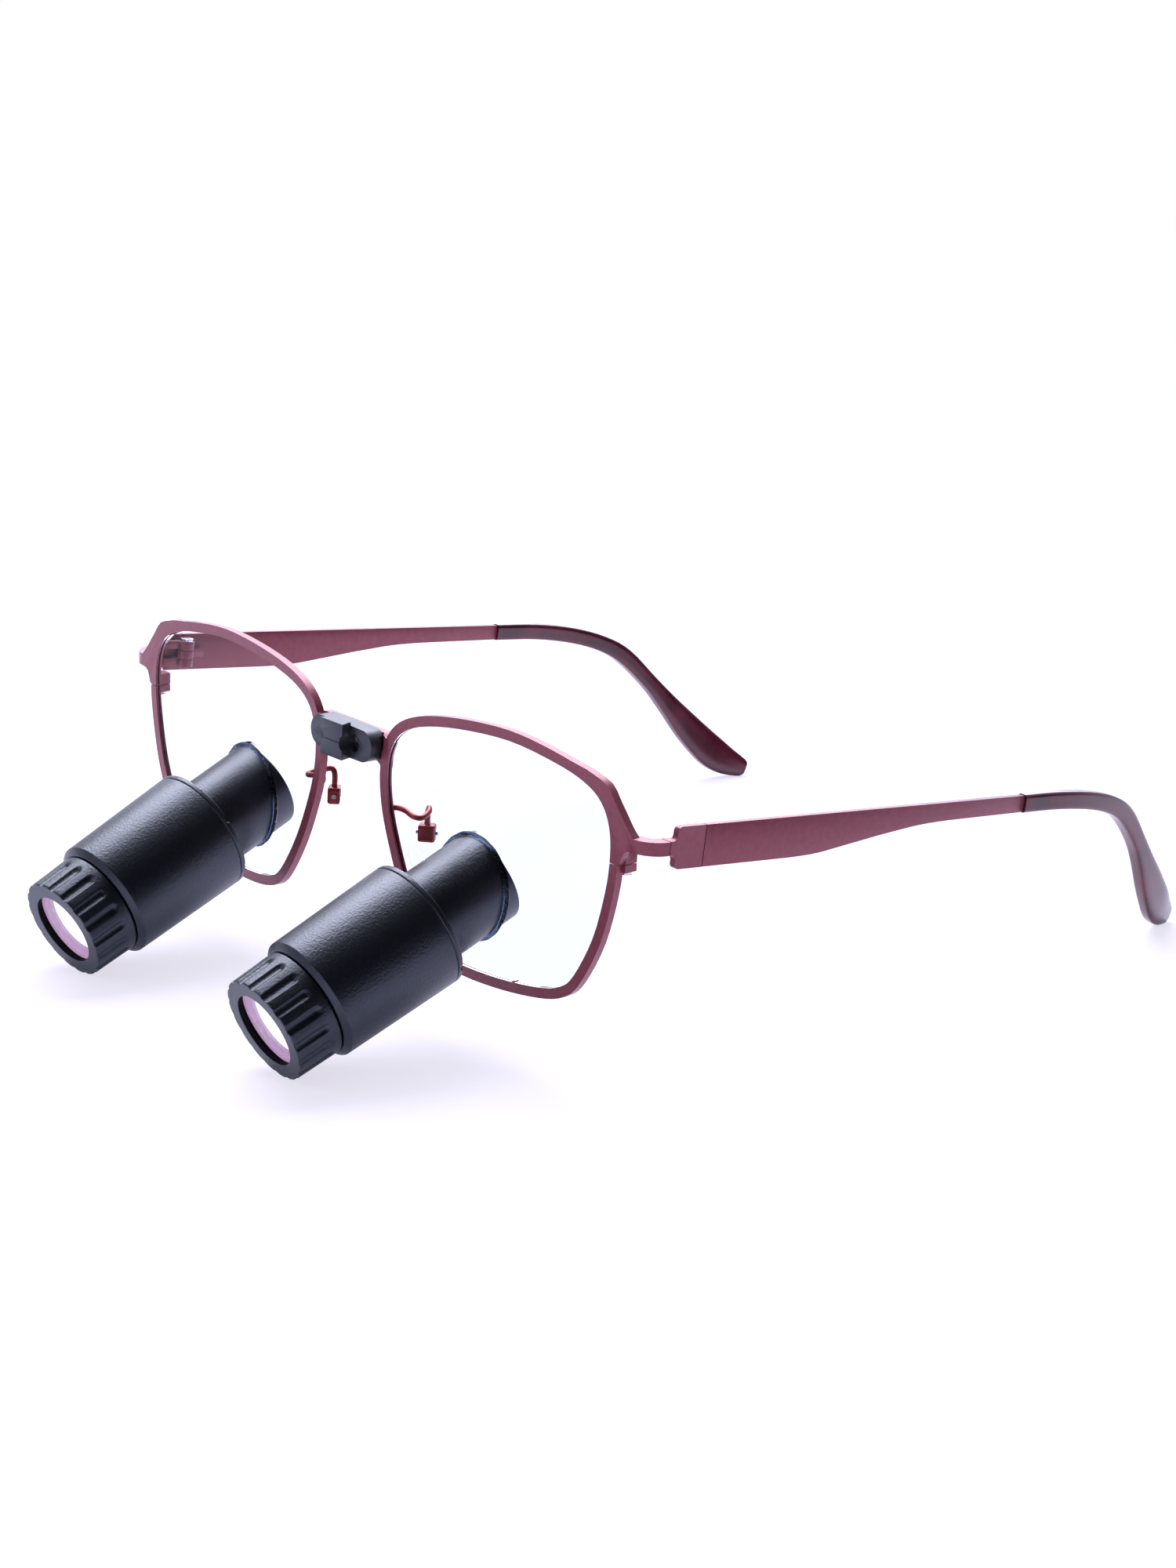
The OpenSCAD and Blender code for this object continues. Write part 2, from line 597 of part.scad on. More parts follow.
temple_low = open_curve([[0, -plate_h / 2], [0.29 * temple_l, -plate_h / 2 + 0.1],
    [0.41 * temple_l, -plate_h / 2 + 1], [0.56 * temple_l, -plate_h / 2 + 2.5],
    [0.71 * temple_l, plate_h / 2 - temple_end_h - 0.3], [temple_l, plate_h / 2 - temple_end_h]], 6);
module temple() {
    tang_h = 1.4;
    tang_t = 0.9;
    color(wine) on_temple() {
        translate([-plate_t, 0, 0]) rotate([90, 0, 90]) linear_extrude(plate_t)
            polygon(concat([for (q = temple_low) [max(q[0], seam_gap / 2), q[1]]],
                [[temple_l, plate_h / 2], [seam_gap / 2, plate_h / 2]]));
        translate([-plate_t / 2 - tang_t / 2, temple_l - sink, plate_h / 2 - temple_end_h / 2 - tang_h / 2])
            cube([tang_t, tang_l + sink, tang_h]);
    }
}

// Middle of the tip, measured from its joint: along, up, and width as a share of the broadest
tip_route = [[0, 0, 0.46], [9.9, -0.05, 0.46], [19, -0.85, 0.47], [26.4, -2.5, 0.48], [31.9, -5.1, 0.51],
    [38.1, -10.2, 0.48], [42.6, -14.5, 0.62], [46.9, -18.7, 0.84], [50.4, -21.85, 0.955], [53.3, -24.2, 1],
    [56, -25.8, 0.9], [58.7, -26.85, 0.69], [60.1, -27.25, 0.54], [60.6, -27.4, 0.38]];
tip_curve = open_curve(tip_route, 2);
// Sideways curl towards the head at a distance behind the joint
function tip_curl(along) = along < 11 ? 0 : -0.041 * (along - 11) - 0.00416 * (along - 11) * (along - 11);
function tip_thick(along) = plate_t + 0.9 + (tip_t - plate_t - 0.9) * min(along / 30, 1)
    - 0.5 * max(along - 45, 0) / 16;
// One cross-section of the tip: a rectangle with bevelled corners, flat on its outer side
function tip_section(i) = let (
    last = len(tip_curve) - 1,
    a = tip_curve[max(i - 1, 0)], b = tip_curve[min(i + 1, last)], c = tip_curve[i],
    curl_a = tip_curl(a[0]), curl_b = tip_curl(b[0]),
    along = unit([curl_b - curl_a, b[0] - a[0], b[1] - a[1]]),
    across = unit(cross(along, [1, 0, 0])),
    out = cross(across, along),
    w = tip_w * c[2] / 2, t = tip_thick(c[0]), bevel = min(0.55, w / 2.2),
    centre = [tip_curl(c[0]), c[0], c[1]])
    [for (q = [[w - bevel, 0], [w, -bevel], [w, bevel - t], [w - bevel, -t],
        [bevel - w, -t], [-w, bevel - t], [-w, -bevel], [bevel - w, 0]]) centre + q[0] * across + q[1] * out];
module temple_tip() {
    last = len(tip_curve) - 1;
    points = [for (i = [0:last]) each tip_section(i)];
    faces = concat([[for (k = [7:-1:0]) k]],
        [for (i = [0:last - 1], k = [0:7]) [i * 8 + k, i * 8 + (k + 1) % 8,
            (i + 1) * 8 + (k + 1) % 8, (i + 1) * 8 + k]],
        [[for (k = [0:7]) last * 8 + k]]);
    color(dark_wine) on_temple() translate([0, temple_l + seat_gap, plate_h / 2 - temple_end_h / 2])
        difference() {
            translate([0.45, 0, 0]) polyhedron(points, faces);
            translate([-plate_t / 2 - 0.45 - seat_gap, -over, -0.7 - seat_gap])
                cube([0.9 + 2 * seat_gap, tang_l + over, 1.4 + 2 * seat_gap]);
        }
}

// The telescopes, from the objective end to the eye. Each distance is from the objective end.

lip_t = 0.85;
ring_wall = 0.7;
ring_bore_r = ring_r - ring_wall;
neck_wall = 0.5;
neck_r = ring_bore_r - running_gap;
cell_r = neck_r - neck_wall - running_gap;
cell_wall = 0.6;
objective_r = cell_r - cell_wall;
cell_start = lip_t + 0.15;
neck_start = lip_t + 0.25;
cell_end = housing_start + 1.55;
key_w = 1;

module focus_ring() {
    flute_r = 1;
    color(black) on_barrel() difference() {
        rotate_extrude() polygon([[aperture_r, 0.2], [aperture_r + 0.2, 0], [ring_r - 0.25, 0], [ring_r, 0.25],
            [ring_back_r, ring_l - 0.3], [ring_back_r - 0.3, ring_l], [ring_bore_r, ring_l],
            [ring_bore_r, lip_t], [aperture_r, lip_t]]);
        for (k = [0:flutes - 1]) rotate([0, 0, 360 * k / flutes])
            translate([ring_r + flute_r - flute_d, 0, 0]) rotate([0, 1, 0]) {
                translate([0, 0, -1]) cylinder(r = flute_r, h = flute_l - flute_r + 1, $fn = 24);
                translate([0, 0, flute_l - flute_r]) sphere(r = flute_r, $fn = 24);
            }
    }
}

module objective_cell() {
    seat_start = cell_start + 3.9;
    color(black) on_barrel() {
        ring(cell_r, objective_r + seat_gap, cell_start, cell_end);
        ring(objective_r + 0.1, aperture_r - 0.1, seat_start, seat_start + 0.9);
        // Key that keeps the cell from turning
        translate([-key_w / 2, -neck_r + 0.12, cell_start + 0.8]) cube([key_w, neck_wall, 3.4]);
    }
}

// Cylinder about z with a domed end at each side, as a lens has
module lens_body(r, front, back, front_dome, back_dome) {
    front_r = (r * r + front_dome * front_dome) / (2 * front_dome);
    back_r = (r * r + back_dome * back_dome) / (2 * back_dome);
    steps = 8;
    front_half = asin(r / front_r);
    back_half = asin(r / back_r);
    rotate_extrude() polygon(concat(
        [for (k = [0:steps]) let (a = front_half * k / steps)
            [front_r * sin(a), front - front_dome + front_r * (1 - cos(a))]],
        [for (k = [steps:-1:0]) let (a = back_half * k / steps)
            [back_r * sin(a), back + back_dome - back_r * (1 - cos(a))]]));
}

module objective_lens() {
    color(purple_glass) on_barrel() lens_body(objective_r, cell_start + 0.5, cell_start + 3.8, 0.45, 0.05);
}

module objective_retainer() {
    color(black) on_barrel() ring(objective_r, aperture_r + 0.5, cell_start + 0.05, cell_start + 0.37);
}

cavity_r = housing_front_r - 0.95;
cage_start = cell_end + focus_travel + 0.2;
module prism_housing() {
    front_r = housing_front_r;
    round_r = 0.9;
    bore_r = cell_r + running_gap;
    color(black) on_barrel() difference() {
        rotate_extrude() polygon(concat([[bore_r, neck_start], [neck_r, neck_start],
            [neck_r, housing_start], [front_r - round_r, housing_start]],
            arc([front_r - round_r, housing_start + round_r], round_r, -90, 0, 6),
            [[housing_back_r, housing_end], [cavity_r, housing_end], [cavity_r, cage_start],
            [bore_r, cage_start]]));
        // Keyway for the objective cell
        translate([-key_w / 2 - running_gap, -neck_r - over, neck_start - 1])
            cube([key_w + 2 * running_gap, neck_wall + 2 * over, 6.4]);
    }
}

prism_w = 8;
prism_end = housing_end - 3.6;
gap_line = 0.42;
module prism_cage() {
    cage_r = cavity_r - seat_gap;
    cage_end = prism_end + 1.6;
    color(soft_black) on_barrel() difference() {
        translate([0, 0, cage_start + 0.05]) cylinder(r = cage_r, h = cage_end - cage_start - 0.05);
        translate([0, 0, cage_start - over]) cylinder(r = 4.4, h = cage_end - cage_start + 2 * over);
        translate([-prism_w / 2 - seat_gap, -6.1, prism_end - 11.7]) cube([prism_w + 2 * seat_gap, 15.9, 11.85]);
    }
}

// Extrudes a prism's side view: x is the distance along the axis, y is up
module prism(shape) {
    color([0.8, 0.88, 0.92, 0.5]) on_barrel() translate([-prism_w / 2, 0, 0])
        rotate([0, -90, 180]) linear_extrude(prism_w) polygon(shape);
}

module front_prism() {
    prism([[prism_end - 11.5, 5.2], [prism_end - 11.5, -5.2], [prism_end - 6.4, -7.4], [prism_end - 2, -7.4],
        [prism_end - 2, 2 - 5.6 - gap_line], [prism_end - 10.8 - gap_line, 5.2]]);
}

module roof_prism() {
    prism([[prism_end, -5.6], [prism_end, 5.9], [prism_end - 8.13, 2.53]]);
}

ring_end = ring_start + rear_ring_l;
module rear_ring() {
    notch_w = 1.2;
    color(black) on_barrel() difference() {
        rotate_extrude() polygon([[tube_r + seat_gap, ring_start - 1.4], [cavity_r - seat_gap, ring_start - 1.4],
            [cavity_r - seat_gap, ring_start], [housing_back_r, ring_start],
            [housing_back_r, ring_end - 0.3], [housing_back_r - 0.3, ring_end],
            [tube_r + seat_gap, ring_end]]);
        for (turn = [28, 208]) rotate([0, 0, turn]) translate([housing_back_r - 0.5, -notch_w / 2, ring_end - 0.45])
            cube([1, notch_w, 1]);
    }
}

tube_bore_r = tube_r - tube_wall;
module eyepiece_tube() {
    color(black) on_barrel() rotate_extrude() polygon([[tube_bore_r, tube_start], [tube_r, tube_start],
        [tube_r, tube_end - 0.35], [tube_r - 0.35, tube_end], [tube_bore_r, tube_end]]);
}

optic_r = tube_bore_r - seat_gap;
module field_lens() {
    color(clear) on_barrel() lens_body(optic_r, tube_start + 2.4, tube_start + 4.2, 0.1, 0.9);
}

eye_lens_back = tube_end - 1.7;
module eyepiece_spacer() {
    color(soft_black) on_barrel() ring(optic_r, optic_r - 0.5, tube_start + 4.4, eye_lens_back - 3.3);
}

module eye_lens() {
    color(clear) on_barrel() lens_body(optic_r, eye_lens_back - 3.2, eye_lens_back, 0.05, 0.35);
}

module eyepiece_retainer() {
    color(black) on_barrel() ring(optic_r, optic_r - 0.9, eye_lens_back + 0.15, tube_end - 0.5);
}

// Clear round bead that bonds the eyepiece tube to the front of the carrier lens
module lens_bead() {
    bead_t = 0.5;
    bead_x = (pupil_x - lens_x) / cos(wrap_angle);
    color(clear) difference() {
        on_rim() translate([bead_x, lens_set - seat_gap, -pupil_drop + 0.25]) rotate([90, 0, 0])
            cylinder(r = tube_r + bead_w, h = bead_t);
        on_barrel() translate([0, 0, barrel_reach - 14]) cylinder(r = tube_r + seat_gap, h = 28);
    }
}

centred() front_frame();
centred() rim_lock_screws();
centred() bridge_mount();
centred() bridge_mount_screws();
centred() nose_pad_screws();
centred() carrier_lens();  // left_carrier_lens
centred() side(-1) carrier_lens();  // right_carrier_lens
centred() pad_arm();  // left_pad_arm
centred() side(-1) pad_arm();  // right_pad_arm
centred() nose_pad();  // left_nose_pad
centred() side(-1) nose_pad();  // right_nose_pad
centred() pad_insert();  // left_pad_insert
centred() side(-1) pad_insert();  // right_pad_insert
centred() hinge_front();  // left_hinge_front
centred() side(-1) hinge_front();  // right_hinge_front
centred() hinge_rear();  // left_hinge_rear
centred() side(-1) hinge_rear();  // right_hinge_rear
centred() hinge_screw();  // left_hinge_screw
centred() side(-1) hinge_screw();  // right_hinge_screw
centred() temple();  // left_temple
centred() side(-1) temple();  // right_temple
centred() temple_tip();  // left_temple_tip
centred() side(-1) temple_tip();  // right_temple_tip
centred() focus_ring();  // left_focus_ring
centred() side(-1) focus_ring();  // right_focus_ring
centred() objective_cell();  // left_objective_cell
centred() side(-1) objective_cell();  // right_objective_cell
centred() objective_lens();  // left_objective_lens
centred() side(-1) objective_lens();  // right_objective_lens
centred() objective_retainer();  // left_objective_retainer
centred() side(-1) objective_retainer();  // right_objective_retainer
centred() prism_housing();  // left_prism_housing
centred() side(-1) prism_housing();  // right_prism_housing
centred() prism_cage();  // left_prism_cage
centred() side(-1) prism_cage();  // right_prism_cage
centred() front_prism();  // left_front_prism
centred() side(-1) front_prism();  // right_front_prism
centred() roof_prism();  // left_roof_prism
centred() side(-1) roof_prism();  // right_roof_prism
centred() rear_ring();  // left_rear_ring
centred() side(-1) rear_ring();  // right_rear_ring
centred() eyepiece_tube();  // left_eyepiece_tube
centred() side(-1) eyepiece_tube();  // right_eyepiece_tube
centred() field_lens();  // left_field_lens
centred() side(-1) field_lens();  // right_field_lens
centred() eyepiece_spacer();  // left_eyepiece_spacer
centred() side(-1) eyepiece_spacer();  // right_eyepiece_spacer
centred() eye_lens();  // left_eye_lens
centred() side(-1) eye_lens();  // right_eye_lens
centred() eyepiece_retainer();  // left_eyepiece_retainer
centred() side(-1) eyepiece_retainer();  // right_eyepiece_retainer
centred() lens_bead();  // left_lens_bead
centred() side(-1) lens_bead();  // right_lens_bead
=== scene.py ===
import json
from math import atan2, cos, pi, radians, sin

import bmesh
import bpy
from mathutils import Matrix, Vector


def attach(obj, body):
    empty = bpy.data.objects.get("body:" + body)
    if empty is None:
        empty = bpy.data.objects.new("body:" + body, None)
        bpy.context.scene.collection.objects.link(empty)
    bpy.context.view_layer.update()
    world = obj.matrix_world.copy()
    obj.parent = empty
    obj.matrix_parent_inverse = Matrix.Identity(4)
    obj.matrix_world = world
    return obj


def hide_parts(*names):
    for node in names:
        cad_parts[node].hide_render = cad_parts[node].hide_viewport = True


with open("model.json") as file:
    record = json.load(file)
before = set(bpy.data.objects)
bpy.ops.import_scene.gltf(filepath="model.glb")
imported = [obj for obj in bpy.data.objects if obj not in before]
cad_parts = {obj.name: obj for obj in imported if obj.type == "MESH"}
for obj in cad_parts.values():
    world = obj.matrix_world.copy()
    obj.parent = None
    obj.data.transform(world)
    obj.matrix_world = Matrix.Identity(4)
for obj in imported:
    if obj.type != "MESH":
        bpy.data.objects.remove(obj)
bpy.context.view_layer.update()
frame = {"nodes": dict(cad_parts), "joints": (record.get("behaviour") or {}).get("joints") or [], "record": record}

MM = 0.001
SIDES = ("left", "right")
scene = bpy.context.scene
JOINTS = {joint["name"]: joint for joint in frame["joints"]}


# Frames of the left half, in millimetres, taken from the record's joints

def upright_frame(origin, axis):
    """Frame at a point with z along the axis and x level."""
    up = Vector(axis).normalized()
    across = Vector((up.y, -up.x, 0)).normalized()
    away = up.cross(across)
    turn = Matrix((across, away, up)).transposed().to_4x4()
    return Matrix.Translation(origin) @ turn


def joint_point(name):
    return Vector(JOINTS[name]["pos_m"]) / MM


BARREL = upright_frame(joint_point("left_focus_turn"), JOINTS["left_focus_turn"]["axis"])
HINGE_PIN = upright_frame(joint_point("left_temple_hinge"), JOINTS["left_temple_hinge"]["axis"])
HINGE_INSET = 2.65
TEMPLE = HINGE_PIN @ Matrix.Translation((HINGE_INSET, 0, 0))
PAD_SCREW = Matrix.Translation(joint_point("left_pad_rock"))
PAD_SCREW_TURN = Vector(JOINTS["left_pad_rock"]["axis"]).xy.angle_signed(Vector((1, 0)))
BOX_OFFSET = Matrix.Translation((0, -0.1, 0))
PAD_BOX = PAD_SCREW @ Matrix.Rotation(PAD_SCREW_TURN, 4, "Z") @ BOX_OFFSET
RIM_TURN = radians(3.1)
LENS_MIDDLE = Vector((35.35, -50.95, 31.02))
RIM = Matrix.Translation(LENS_MIDDLE) @ Matrix.Rotation(RIM_TURN, 4, "Z")


# Nodes

def settle(node, settings):
    """Sets a node's inputs by their names."""
    for name, value in settings.items():
        node.inputs[name].default_value = value


def new_material(name, settings=None):
    """A material, its node tree and its shader, with settings for the shader's inputs."""
    material = bpy.data.materials.new(name)
    material.use_nodes = True
    tree = material.node_tree
    shader = tree.nodes["Principled BSDF"]
    settle(shader, settings or {})
    return material, tree, shader


def add(tree, kind, **values):
    node = tree.nodes.new(kind)
    for key, value in values.items():
        setattr(node, key, value)
    return node


def maths(tree, operation, first, second):
    """The result of an operation on two values, each a node's output or a float."""
    node = add(tree, "ShaderNodeMath", operation=operation)
    for socket, value in zip(node.inputs, (first, second)):
        if isinstance(value, float):
            socket.default_value = value
        else:
            tree.links.new(value, socket)
    return node.outputs["Value"]


def spread(tree, value, start, end, low, high, kind="LINEAR"):
    """Maps a value's range between start and end onto the range between low and high."""
    ramp = add(tree, "ShaderNodeMapRange", interpolation_type=kind)
    settle(ramp, {"From Min": start, "From Max": end, "To Min": low, "To Max": high})
    tree.links.new(value, ramp.inputs["Value"])
    return ramp.outputs["Result"]


def grain(tree, scale, detail=2.0, roughness=0.5):
    """Noise on the object's own coordinates; the scale is in waves per metre."""
    place = add(tree, "ShaderNodeTexCoord")
    noise = add(tree, "ShaderNodeTexNoise")
    settle(noise, {"Scale": scale, "Detail": detail, "Roughness": roughness})
    tree.links.new(place.outputs["Object"], noise.inputs["Vector"])
    return noise.outputs["Fac"]


# Noise values between which a shade or a roughness goes from its low end to its high end
NOISE_LOW = 0.35
NOISE_HIGH = 0.65


def two_tone(tree, value, dark, light, start=NOISE_LOW, end=NOISE_HIGH):
    """Colour that goes from the first shade to the second as a value goes from start to end."""
    ramp = add(tree, "ShaderNodeValToRGB")
    for element, position, shade in zip(ramp.color_ramp.elements, (start, end), (dark, light)):
        element.position = position
        element.color = (*shade, 1)
    tree.links.new(value, ramp.inputs["Fac"])
    return ramp.outputs["Color"]


def coloured(tree, shader, noise, dark, light):
    """Gives a shader a colour that varies between two shades with a noise value."""
    tree.links.new(two_tone(tree, noise, dark, light), shader.inputs["Base Color"])


def roughened(tree, shader, noise, low, high):
    """Gives a shader a roughness that varies with a noise value."""
    tree.links.new(spread(tree, noise, NOISE_LOW, NOISE_HIGH, low, high), shader.inputs["Roughness"])


def bumped(tree, shader, height, strength, distance):
    """Gives a shader a bump of a real height in metres."""
    bump = add(tree, "ShaderNodeBump")
    settle(bump, {"Strength": strength, "Distance": distance})
    tree.links.new(height, bump.inputs["Height"])
    tree.links.new(bump.outputs["Normal"], shader.inputs["Normal"])


# Materials

def wine_titanium():
    """Satin burgundy coat over titanium, with a very fine blasted grain and a sheen at low angles."""
    material, tree, shader = new_material("wine_titanium", {
        "Metallic": 0.35, "Coat Weight": 0.26, "Coat Roughness": 0.34,
        "Sheen Weight": 0.4, "Sheen Roughness": 0.3, "Sheen Tint": (0.88, 0.78, 1.0, 1)})
    coloured(tree, shader, grain(tree, 900, 3), (0.182, 0.027, 0.044), (0.208, 0.034, 0.055))
    fine = grain(tree, 9000)
    roughened(tree, shader, fine, 0.36, 0.46)
    bumped(tree, shader, fine, 0.25, 0.00001)
    return material


def wine_wire():
    """Glossier, coppery burgundy of the drawn pad wires and their boxes."""
    material, tree, shader = new_material("wine_titanium_wire", {"Metallic": 0.55})
    coloured(tree, shader, grain(tree, 1200, 3), (0.150, 0.012, 0.014), (0.205, 0.022, 0.023))
    fine = grain(tree, 6000)
    roughened(tree, shader, fine, 0.26, 0.36)
    bumped(tree, shader, fine, 0.25, 0.00001)
    return material


def wine_acetate():
    """Polished dark red acetate with a faint cloudy depth."""
    material, tree, shader = new_material("wine_acetate", {
        "Roughness": 0.2, "Coat Weight": 0.2, "Coat Roughness": 0.06})
    coloured(tree, shader, grain(tree, 160, 3), (0.044, 0.003, 0.009), (0.086, 0.008, 0.019))
    bumped(tree, shader, grain(tree, 700, 1), 0.1, 0.00002)
    return material


def black_anodised(name, low, high):
    """Satin black lacquer on aluminium with a fine orange-peel grain, of a roughness from low to high."""
    material, tree, shader = new_material(name, {
        "Specular IOR Level": 0.82, "Specular Tint": (0.78, 0.84, 1.0, 1)})
    peel = grain(tree, 2400, 2, 0.6)
    coloured(tree, shader, peel, (0.0004, 0.0009, 0.0024), (0.0010, 0.0016, 0.0036))
    roughened(tree, shader, grain(tree, 7000), low, high)
    bumped(tree, shader, peel, 0.8, 0.00008)
    return material


def matt_black():
    """Flocked black inside the telescopes, so that no light wanders there."""
    material, tree, shader = new_material("matt_black_inside", {
        "Roughness": 0.85, "Specular IOR Level": 0.1})
    coloured(tree, shader, grain(tree, 4000), (0.0008, 0.0008, 0.0011), (0.0020, 0.0020, 0.0026))
    return material


def black_polymer():
    """Fine moulded black polymer."""
    material, tree, shader = new_material("black_polymer", {
        "Specular IOR Level": 0.8, "Specular Tint": (0.88, 0.91, 1.0, 1)})
    mould = grain(tree, 5000, 3)
    coloured(tree, shader, mould, (0.008, 0.0088, 0.0130), (0.013, 0.0142, 0.0200))
    roughened(tree, shader, mould, 0.40, 0.50)
    bumped(tree, shader, mould, 0.3, 0.00002)
    return material


def steel_screw():
    """Bright turned steel."""
    material, tree, shader = new_material("steel_screw", {
        "Base Color": (0.62, 0.60, 0.60, 1), "Metallic": 1})
    roughened(tree, shader, grain(tree, 6000), 0.16, 0.30)
    return material


def clear_material(name, colour, roughness, wave_scale, wave_height, ior=1.5):
    """Glass or clear plastic with a fine waviness and a faint uneven haze."""
    material, tree, shader = new_material(name, {
        "Base Color": (*colour, 1), "Transmission Weight": 1, "IOR": ior})
    wave = grain(tree, wave_scale)
    roughened(tree, shader, wave, roughness * 0.7, roughness * 1.3)
    bumped(tree, shader, wave, 0.4, wave_height)
    return material


def mauve_coat_painted_glow():
    """The violet bloom on the front of an objective, through which the glass behind still shows, with its violet
    reflection painted as a glow.
    """
    # The emission paints the coating's violet reflection as a glow
    material, tree, shader = new_material("objective_coat_painted_glow", {
        "Transmission Weight": 0.85, "Roughness": 0.02, "IOR": 1.16,
        "Emission Color": (0.92, 0.62, 1.0, 1), "Emission Strength": 0.25})
    coloured(tree, shader, grain(tree, 220), (0.90, 0.84, 0.96), (0.98, 0.93, 1.0))
    return material


def painted_edge_glow():
    """The ground edge of an objective, painted mauve as the light which the bright image sheds on it from inside
    the glass.
    """
    # Its mauve colour is painted light from the image
    material, tree, shader = new_material("objective_edge_painted_glow", {
        "Roughness": 0.7, "Specular IOR Level": 0.2})
    coloured(tree, shader, grain(tree, 700), (0.26, 0.15, 0.23), (0.35, 0.21, 0.31))
    return material


def painted_image_glow():
    """The bright, faintly clouded round image that a telescope shows inside its objective, painted as a glowing
    disc.
    """
    # A painted glow: the emission stands in for the light of the image
    material, tree, shader = new_material("objective_image_painted_glow", {
        "Base Color": (0.8, 0.8, 0.8, 1), "Emission Strength": 0.95})
    shade = two_tone(tree, grain(tree, 300, 1), (0.92, 0.90, 0.95), (1.0, 0.98, 1.0))
    tree.links.new(shade, shader.inputs["Emission Color"])
    return material


def ray_shares(tree, rays):
    """Shares for a ray that metal mirrors, even through glass, and for one that only glass let through."""
    bounced = maths(tree, "MINIMUM", rays.outputs["Glossy Depth"], 1.0)
    both = maths(tree, "MULTIPLY", rays.outputs["Is Transmission Ray"], bounced)
    mirrored = maths(tree, "MAXIMUM", rays.outputs["Is Glossy Ray"], both)
    clear = maths(tree, "SUBTRACT", rays.outputs["Is Transmission Ray"], both)
    return mirrored, clear


# The floor's shades, among them a painted lavender shade in its glow near the loupes, shares of its own light, and
# the distances in metres between which they change
FLOOR_MATT = (0.90, 0.88, 0.97, 1)
FLOOR_PAINTED_SHADE = (0.99, 0.96, 1.07)
FLOOR_SHEEN = (0.70, 0.75, 1.0, 1)
FLOOR_GLOW = 0.70
FLOOR_GLOSS = 0.5
FLOOR_NEAR = 0.2
FLOOR_PAINTED_SHADE_END = 0.5
FLOOR_FAR = 0.7


def floor_white():
    """Pale floor that the camera and glass see as white, and that keeps shadows, tinted by a painted lavender
    shade in its glow near the loupes.
    """
    material, tree, shader = new_material("floor_white")
    tree.nodes.remove(shader)
    matt = add(tree, "ShaderNodeBsdfDiffuse")
    settle(matt, {"Color": FLOOR_MATT})
    glow = add(tree, "ShaderNodeEmission")
    rays = add(tree, "ShaderNodeLightPath")
    mirrored, clear = ray_shares(tree, rays)
    place = add(tree, "ShaderNodeTexCoord")
    length = add(tree, "ShaderNodeVectorMath", operation="LENGTH")
    tree.links.new(place.outputs["Object"], length.inputs[0])
    away = length.outputs["Value"]
    # The glow near the loupes is painted a faint lavender, which shows as shade in their shadows
    shade = two_tone(tree, away, FLOOR_PAINTED_SHADE, (1, 1, 1), FLOOR_NEAR, FLOOR_PAINTED_SHADE_END)
    tint = add(tree, "ShaderNodeMix", data_type="RGBA")
    tree.links.new(shade, tint.inputs["A"])
    settle(tint, {"B": FLOOR_SHEEN})
    tree.links.new(mirrored, tint.inputs["Factor"])
    tree.links.new(tint.outputs["Result"], glow.inputs["Color"])
    glossy = maths(tree, "MULTIPLY", mirrored, FLOOR_GLOSS)
    camera_or_glossy = maths(tree, "MAXIMUM", rays.outputs["Is Camera Ray"], glossy)
    seen = maths(tree, "MAXIMUM", camera_or_glossy, clear)
    far = spread(tree, away, FLOOR_NEAR, FLOOR_FAR, FLOOR_GLOW, 1.0, "SMOOTHSTEP")
    mix = add(tree, "ShaderNodeMixShader")
    tree.links.new(maths(tree, "MULTIPLY", seen, far), mix.inputs[0])
    tree.links.new(matt.outputs["BSDF"], mix.inputs[1])
    tree.links.new(glow.outputs["Emission"], mix.inputs[2])
    tree.links.new(mix.outputs["Shader"], tree.nodes["Material Output"].inputs["Surface"])
    return material


CLEAR = (0.985, 0.988, 0.99)
FINISH = {
    "wine_titanium": wine_titanium(),
    "wine_acetate": wine_acetate(),
    "black_anodised": black_anodised("black_anodised", 0.34, 0.42),
    "black_polymer": black_polymer(),
    "steel_screw": steel_screw(),
    "clear_lens": clear_material("clear_lens", (1.0, 1.0, 1.0), 0.002, 40, 0.0000004, 1.10),
    "coated_glass": clear_material("coated_glass", (0.90, 0.84, 0.92), 0.004, 80, 0.000002),
    "prism_glass": clear_material("prism_glass", (0.90, 0.95, 0.96), 0.02, 200, 0.000003),
    "clear_silicone": clear_material("clear_silicone", CLEAR, 0.06, 900, 0.00002, 1.05),
    "clear_polymer": clear_material("clear_polymer", CLEAR, 0.04, 700, 0.00001, 1.07),
    # The bead's dark blue-grey tint is painted shade; the adhesive itself is clear
    "clear_adhesive": clear_material("clear_adhesive", (0.08, 0.11, 0.17), 0.22, 2500, 0.00010, 1.3),
}
WIRE_WINE = wine_wire()
RING_BLACK = black_anodised("black_anodised_ring", 0.38, 0.46)
INSIDE = matt_black()
# Objective coat with a painted violet glow
COAT_MAUVE_PAINTED_GLOW = mauve_coat_painted_glow()
# Painted glow of the image inside the objective
IMAGE_PAINTED_GLOW = painted_image_glow()
# Objective edge with painted mauve light
EDGE_PAINTED_GLOW = painted_edge_glow()
SLOT = {part["node"]: part["material_slot"] for part in frame["record"]["subparts"]}
BODY = {node: body for body, nodes in frame["record"]["behaviour"]["bodies"].items() for node in nodes}


# Making pieces

# Distance in millimetres within which points are joined
WELD = 0.0005


def smooth_by_angle(mesh, angle):
    """Smooth shading, but a crease wherever two faces meet more sharply than the angle."""
    shaped = bmesh.new()
    shaped.from_mesh(mesh)
    for face in shaped.faces:
        face.smooth = True
    for edge in shaped.edges:
        edge.smooth = len(edge.link_faces) == 2 and edge.calc_face_angle(0) < angle
    shaped.to_mesh(mesh)
    shaped.free()


